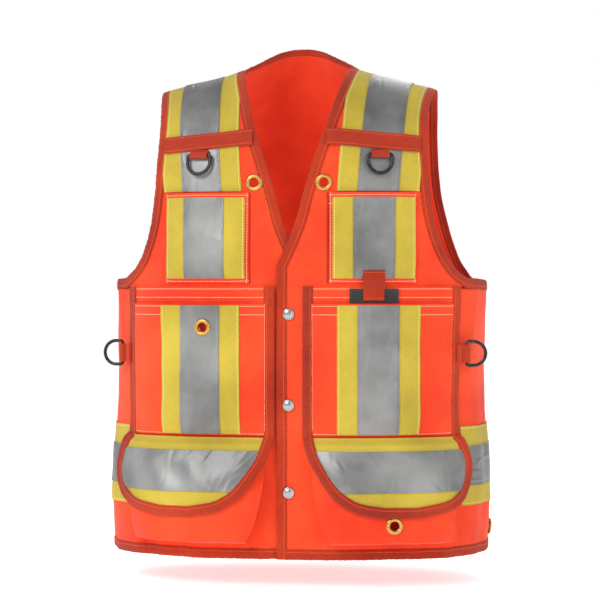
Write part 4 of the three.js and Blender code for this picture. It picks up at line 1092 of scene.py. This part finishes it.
def flap_back(x, z):
    share = smoothstep(-z, FLAP_TOP, POUCH_TOP - 1)
    return POCKET_FLAT + (pouch_face(x, np.minimum(z, -POUCH_TOP)) + FLAP_CLEAR - POCKET_FLAT) * share


def flap_piece(name, side, first, last, inset, under, over, material):
    """Part of a flap between two shares of its height"""
    def place(u, drop):
        inner, outer = flap_side("inner", drop), flap_side("outer", drop)
        x = side * (inner + inset + (outer - inner - 2 * inset) * u)
        z = -FLAP_TOP - FLAP_HEIGHT * drop
        return angle_at(x, z), z

    drops = np.linspace(last, first, int((last - first) * FLAP_HEIGHT / 1.6))
    return sheet_piece(name, np.linspace(0, 1, 80)[::side], drops, place, above(flap_back, under),
                       above(flap_back, over), material)


for word, side in SIDES:
    sewn(flap_piece(f"lid_{word}", side, 0, 1, 0, 0, FLAP_THICKNESS, yellow), [f"flap_{word}"])
    sewn(flap_piece(f"lid_silver_{word}", side, SILVER_FROM, SILVER_TO, FLAP_STRIPE_INSET,
                    FLAP_THICKNESS + 0.4, FLAP_THICKNESS + 1.3, silver),
         [f"flap_silver_{word}"])
    heights = np.linspace(-LOWER_TOP, -FLAP_TOP, 60)
    drops = np.linspace(0.01, 1, 60)
    halves = []
    for which, pocket_side in (("outer", LOWER_OUTER), ("inner", LOWER_INNER)):
        x = side * pocket_side * np.ones(60)
        low_x = side * flap_side(which, drops)
        low_z = -FLAP_TOP - FLAP_HEIGHT * drops
        halves.append([
            np.concatenate([angle_at(x, heights), angle_at(low_x, low_z)]), np.concatenate([heights, low_z]),
            np.concatenate([np.full(60, POCKET_FOOT), flap_back(low_x, low_z) + 0.8]),
        ])
    path = [np.concatenate([outer, inner[::-1]])[::side] for outer, inner in zip(*halves)]
    rolled = [(reach, max(rise + 1.6, 0.1)) for reach, rise in BIND_PROFILE]
    sewn(binding_piece(f"pocket_edge_{word}", resample(path), gathered=0.3, profile=rolled),
         [f"pocket_binding_{word}"])


# Chest webbing and pocket tab
# Ribbed polypropylene webbing, 20 mm wide, sewn across each brace from the neck edge to the armhole.
# A short tab of it hangs from the left chest pocket's foot over the lower pocket's mouth.
WEBBING_WIDTH = 20.0
WEBBING_THICKNESS = 1.8
WEB_TOP = 94.0
WEB_SLOPE = 0.09
WEB_LIFT = 3.2
WEB_NECK_LAP = 5.0
TAB_INNER = 94
TAB_OUTER = 120
TAB_TOP = 268
TAB_BOTTOM = 306
webbing = cloth("webbing", (0.62, 0.05, 0.01), (0.36, 0.02, 0.005), pitch=1.9, weave_rise=0.4, inset_v=2.5,
                thread=BIND_THREAD, crease=0.4, painted_glow=0.03)


def web_place(side):
    def place(u, v):
        centre = -(WEB_TOP + WEBBING_WIDTH / 2)
        first = float(neck_edge(centre)) - WEB_NECK_LAP
        last = float(form(arm_edge(np.array(centre), False), centre)[0]) - 3 * SEAM_GAP
        x = first + (last - first) * u
        z = centre + (v - 0.5) * WEBBING_WIDTH - (x - BRACE_CENTRE) * WEB_SLOPE
        level = level_at(x, z)
        return side * angle_at(x, level), level
    return place


for word, side in SIDES:
    band = sheet_piece(f"chest_band_{word}", np.linspace(0, 1, 60)[::side], np.linspace(0, 1, 12),
                       web_place(side), WEB_LIFT, WEB_LIFT + WEBBING_THICKNESS, webbing)
    sewn(band, [f"chest_webbing_{word}"])


def tab_lift(x, z):
    """Height of the tab: over the hook-and-loop patch at its foot, over the chest pocket's tape at its top"""
    low = POCKET_FOOT + POCKET_CLOTH + 0.5 + 1.5 + 0.5
    share = smoothstep(z, -LOWER_TOP - 4, -CHEST_BOTTOM + 6)
    high = pocket_face(chest_pocket(1), x, np.maximum(z, -CHEST_BOTTOM + 14)) + SILVER_OVER + 0.5
    return low + (high - low) * share


sewn(patch_piece("tab_webbing", np.linspace(TAB_INNER, TAB_OUTER, 18), np.linspace(-TAB_BOTTOM, -TAB_TOP, 40),
                 tab_lift, lambda x, z: tab_lift(x, z) + WEBBING_THICKNESS, webbing),
     ["pocket_tab"])


# D-rings and loops
# Bent round wire, 35 by 29 mm, coated glossy black and rubbed on the bow where tools hang.
# Each swings in a folded loop of the webbing, sewn down on the chest or at a lower pocket's side.
WIRE = 2.2
LOOP_RADIUS = WIRE + WEBBING_THICKNESS + 0.5
LOOP_HALF_WIDTH = 11.5
RING_WIDTH = 35.0
RING_HEIGHT = 29.0
CHEST_RING_DROP = WEB_TOP + WEBBING_WIDTH + 8.0
SIDE_RING_DROP = LOWER_TOP + 86.0
# For each place: how far the ring hangs out of its loop's plane, in radians, and the loop's tail in mm
RING_SETS = (("chest", 0.0, 7.0), ("side", 0.6, 13.0))


def metal(name, base, worn, metallic, rough, wear=0.55):
    """Metal or coating with rubbed patches, small pits and uneven gloss"""
    material, tree, shader = new_material(name)
    place_in = node(tree, "ShaderNodeTexCoord").outputs["Object"]
    patches = noise(tree, place_in, 260.0, 4.0)
    pits = noise(tree, place_in, 1500.0, 2.0)
    rubbed = ramp(tree, patches, wear, wear + 0.16)
    tree.links.new(mixed(tree, rubbed, base, worn), shader.inputs["Base Color"])
    tree.links.new(math_node(tree, "MULTIPLY_ADD", patches, 0.3, rough - 0.1), shader.inputs["Roughness"])
    shader.inputs["Metallic"].default_value = metallic
    bumped(tree, shader, math_node(tree, "ADD", pits, patches), distance=0.0001, strength=0.6)
    return material


black = metal("black_ring", (0.012, 0.013, 0.014), (0.09, 0.09, 0.09), 0.3, 0.22)


def unit(vector):
    return vector / np.linalg.norm(vector)


def loop_frame(side, where):
    """Foot of a ring's loop, and its ways: towards the tail, out from the cloth, along the ring's bar"""
    if where == "chest":
        x = np.array([BRACE_CENTRE + 2.0])
        drop = np.array([-CHEST_RING_DROP])
        angle = side * angle_at(x, drop)
        normal = outward(angle, level_at(x, drop))[0]
        tail = np.cross(normal, unit(np.cross((0, 0, 1), normal)))
    else:
        drop = np.array([-SIDE_RING_DROP])
        angle = side * angle_at(np.array([LOWER_OUTER + BINDING_WIDTH + WIRE]), drop)
        normal = unit(outward(angle, drop)[0] * (1, 1, 0))
        tail = np.cross((0, 0, -side), normal)
    foot = np.array(RING_CENTRES[where]) * (side, 1, 1) - normal * LOOP_RADIUS
    return foot, tail, normal, unit(np.cross(tail, normal))


def bent_wire(name, line, material, sides=14):
    """Round wire closed on itself along points in mm"""
    ahead = np.roll(line, -1, 0) - np.roll(line, 1, 0)
    ahead /= np.linalg.norm(ahead, axis=1, keepdims=True)
    flat = np.linalg.eigh((line - line.mean(0)).T @ (line - line.mean(0)))[1][:, 0]
    side = np.cross(ahead, flat)
    turn = np.linspace(0, 2 * np.pi, sides, endpoint=False)
    rings = line[:, None] + WIRE * (side[:, None] * np.cos(turn)[:, None] + flat * np.sin(turn)[:, None])
    skin = np.concatenate([rings, rings[:1]])
    middle = np.concatenate([line, line[:1]])[:, None]
    return grid_piece(name, middle + 0.02 * (skin - middle), skin, material, loop=True)


def ring_line():
    """Middle of the wire, seen flat: a straight bar with tight corners and a round bow below it"""
    half = RING_WIDTH / 2 - WIRE
    corner = 1.5 * WIRE
    straight = RING_HEIGHT - 2 * WIRE - half
    turn = np.linspace(QUARTER, 0, 7)
    right = np.stack([half - corner + corner * np.cos(turn), corner * (np.sin(turn) - 1)], 1)
    bow_turn = np.linspace(0, -np.pi, 26)
    bow = np.stack([half * np.cos(bow_turn), -straight + half * np.sin(bow_turn)], 1)
    left = right[::-1] * (-1, 1)
    top = np.stack([np.linspace(corner - half, half - corner, 8)[1:-1], np.zeros(6)], 1)
    return np.concatenate([right, bow, left, top])


def loop_outlines(tail_length):
    """Inner and outer outline of a loop, as (towards the tail, out): an eye with two flat ends"""
    rise = np.arcsin((2 * WEBBING_THICKNESS - LOOP_RADIUS) / LOOP_RADIUS)
    turn = np.linspace(rise, 1.5 * np.pi, 30)
    outer = np.concatenate([
        [(tail_length, 2 * WEBBING_THICKNESS), (tail_length * 0.8, 2 * WEBBING_THICKNESS)],
        np.stack([LOOP_RADIUS * np.cos(turn), LOOP_RADIUS + LOOP_RADIUS * np.sin(turn)], 1),
        [(tail_length * 0.8, 0.0), (tail_length, 0.0)],
    ])
    away = outer - (0.0, LOOP_RADIUS)
    reach = np.linalg.norm(away, axis=1, keepdims=True)
    inner = outer - away / reach * WEBBING_THICKNESS * np.minimum(1, reach / LOOP_RADIUS)
    inner[:2] = outer[:2] - (0, WEBBING_THICKNESS * 0.9)
    inner[-2:] = outer[-2:] + (0, WEBBING_THICKNESS * 0.9)
    return inner, outer


for word, side in SIDES:
    for where, swing, tail_length in RING_SETS:
        foot, tail, normal, bar = loop_frame(side, where)
        centre = foot + normal * LOOP_RADIUS
        hang = tail * np.cos(swing) - normal * np.sin(swing)
        line = np.array([centre + bar * x + hang * y for x, y in ring_line()])
        ring = f"ring_{where}_{word}"
        sewn(bent_wire(f"d_{ring}", line, black), [ring], body=ring)
        across = np.linspace(-LOOP_HALF_WIDTH, LOOP_HALF_WIDTH, 18)
        faces = [
            np.array([[foot + tail * x + normal * y + bar * w for w in across] for x, y in outline])
            for outline in loop_outlines(tail_length)
        ]
        sewn(grid_piece(f"loop_{where}_{word}", *faces, webbing),
             [f"ring_loop_{where}_{word}"])


# Eyelets
# Rolled brass eyelets with a bright rim, set through the cloth; the brass has dulled unevenly.
# Two are on the chest, two near the hem, one in the right lower pocket and one in the left pouch.
# Profile from the hole outwards: radius, and rise off the cloth
EYELET_PROFILE = (
    (5.2, -3.0), (5.6, -1.0), (5.8, 0.6), (6.4, 1.5), (7.6, 2.0), (9.2, 1.8), (10.4, 1.1), (11.0, 0.1),
)
CHEST_EYELET_LIFT = 1.1
HEM_EYELET_LIFT = 0.4
brass = metal("brass_eyelet", (0.62, 0.36, 0.1), (0.3, 0.15, 0.04), 1.0, 0.3)


def turned(name, profile, at, normal, material, sides=48):
    """Turned part on the cloth, from its profile of radius and rise"""
    across = unit(np.cross((0, 0, 1), normal))
    up = np.cross(normal, across)
    turn = np.linspace(0, 2 * np.pi, sides, endpoint=False)
    spin = np.cos(turn)[:, None] * across + np.sin(turn)[:, None] * up
    over = np.array([at + spin * radius + normal * rise for radius, rise in profile])
    inner = np.array([at + spin * radius + normal * (rise - 0.5) for radius, rise in profile])
    return grid_piece(name, inner[::-1], over[::-1], material, loop=True)


EYELET_SEATS = {
    "chest_left": (*chest_seat(1), CHEST_EYELET_LIFT),
    "chest_right": (*chest_seat(-1), CHEST_EYELET_LIFT),
    "hem_left": (HEM_SEAT_TURN, -HEM_SEAT_DROP, HEM_EYELET_LIFT),
    "hem_right": (-HEM_SEAT_TURN, -HEM_SEAT_DROP, HEM_EYELET_LIFT),
    "pouch": (*pouch_seat()[:2], pouch_seat()[2] + 0.5),
    "pocket": (*pocket_seat()[:2], pocket_seat()[2] + SILVER_OVER + 0.8),
}
for where, seat in EYELET_SEATS.items():
    normal = outward(*(np.array([value]) for value in seat[:2]))[0]
    sewn(turned(f"eyelet_{where}", EYELET_PROFILE, seat_point(*seat), normal, brass),
         [f"grommet_{where}"])


# Snaps
# Three press-snap caps down the bound front edge, each a shallow domed disc with a rolled rim.
# They are polished chrome, pressed through the binding of the left front.
SNAP_PROFILE = (
    (0.05, 3.3), (1.6, 3.28), (3.4, 3.05), (4.6, 2.55), (5.3, 2.2), (5.9, 2.35), (6.7, 2.3), (7.4, 1.7),
    (7.7, 0.9), (7.5, 0.1),
)
SNAP_LIFT = 1.2
SNAP_DROPS = {"upper": 0.509, "middle": 0.691, "lower": 0.866}
chrome = metal("chrome_snap", (0.42, 0.42, 0.42), (0.2, 0.2, 0.2), 1.0, 0.2, wear=0.6)
for where, share in SNAP_DROPS.items():
    seat = (0.0, -share * BODY_HEIGHT)
    normal = outward(*(np.array([value]) for value in seat))[0]
    sewn(turned(f"snap_cap_{where}", SNAP_PROFILE, seat_point(*seat, SNAP_LIFT), normal, chrome),
         [f"snap_{where}"])


# Hook-and-loop patches
# Black loop pile: one over the left lower pocket's mouth, one at the back pocket's top corner.
# Each is a plain rectangle with a row of stitches all round.
PILE_HEIGHT = 1.5
FRONT_PATCH_LIFT = POCKET_FOOT + POCKET_CLOTH + 0.8
BACK_PATCH_LIFT = 1.0
pile = cloth("hook_pile", (0.022, 0.02, 0.018), (0.008, 0.007, 0.006), pitch=1.4, weave_rise=0.5, rough=0.95,
             inset_u=1.8, inset_v=1.8, thread=(0.05, 0.045, 0.04), crease=0.2, sheen=0.5)


def pile_patch(name, xs, zs, lift, behind=False):
    def fuzzy(x, z):
        return lift + PILE_HEIGHT + 0.15 * np.sin(x * 3.1) * np.sin(z * 2.7)

    return patch_piece(name, xs, zs, lift, fuzzy, pile, behind)


sewn(pile_patch("pile_patch_front", np.linspace(77, 138, 40), np.linspace(-309, -291, 16), FRONT_PATCH_LIFT),
     ["hook_patch_front"])
sewn(pile_patch("pile_patch_back", np.linspace(151.5, 169, 16), np.linspace(-188, -163, 20),
                BACK_PATCH_LIFT, True),
     ["hook_patch_back"])


# Studio
# A pale floor, soft light from large panels, and the camera a little to the left front's side.
# The white sky lights the vest at half the strength at which the camera sees it. Sizes are in metres.
FLOOR_HEIGHT = -0.672
CENTRE = (0, 0, -0.3)
SKY_LIGHT = 0.5
CAMERA_AWAY = 2.75
CAMERA_TURN = np.radians(6.0)
CAMERA_HEIGHT = -0.29
AIM_DROP = 0.016
SENSOR_WIDTH = 36
VIEW_DISTANCE = 2.68
VIEW_WIDTH = 0.78
bpy.ops.mesh.primitive_plane_add(size=24, location=(0, 0, FLOOR_HEIGHT))
floor = bpy.context.object
floor.name = "floor"
pale, _, pale_shader = new_material("pale_floor")
for label, value in (("Base Color", (0.9, 0.9, 0.9, 1)), ("Roughness", 0.9), ("Emission Color", (1, 1, 1, 1)),
                     ("Emission Strength", 0.6)):
    pale_shader.inputs[label].default_value = value
floor.data.materials.append(pale)


def placed(name, data, at, aim):
    """Lamp or camera at a place, turned to face another"""
    thing = bpy.data.objects.new(name, data)
    bpy.context.scene.collection.objects.link(thing)
    thing.location = at
    thing.rotation_euler = (Vector(aim) - Vector(at)).to_track_quat("-Z", "Y").to_euler()
    return thing


for label, at, size, power in (
    ("key", (-1.3, -2.4, 1.3), (1.1, 1.1), 44), ("fill", (1.9, -2.2, 0.4), (1.6, 1.8), 14),
    ("rear", (0.5, 2.6, 1.2), (2.2, 1.6), 34), ("side", (-2.6, 0.3, 0.4), (1.2, 1.6), 12),
):
    light = bpy.data.lights.new(label, "AREA")
    light.shape = "RECTANGLE"
    light.size, light.size_y = size
    light.energy = power
    placed(label, light, at, CENTRE)

world = bpy.data.worlds.new("world")
bpy.context.scene.world = world
world.use_nodes = True
sky = world.node_tree.nodes["Background"]
sky.inputs["Color"].default_value = (1, 1, 1, 1)
seen = node(world.node_tree, "ShaderNodeLightPath").outputs["Is Camera Ray"]
strength = math_node(world.node_tree, "MULTIPLY_ADD", seen, 1.0 - SKY_LIGHT, SKY_LIGHT)
world.node_tree.links.new(strength, sky.inputs["Strength"])
bpy.context.scene.view_settings.view_transform = "Standard"

lens = bpy.data.cameras.new("camera")
lens.sensor_width = SENSOR_WIDTH
lens.lens = SENSOR_WIDTH * VIEW_DISTANCE / VIEW_WIDTH
stand = (CAMERA_AWAY * np.sin(CAMERA_TURN), -CAMERA_AWAY * np.cos(CAMERA_TURN), CAMERA_HEIGHT)
bpy.context.scene.camera = placed("camera", lens, stand, (0.0, 0.0, CAMERA_HEIGHT - AIM_DROP))
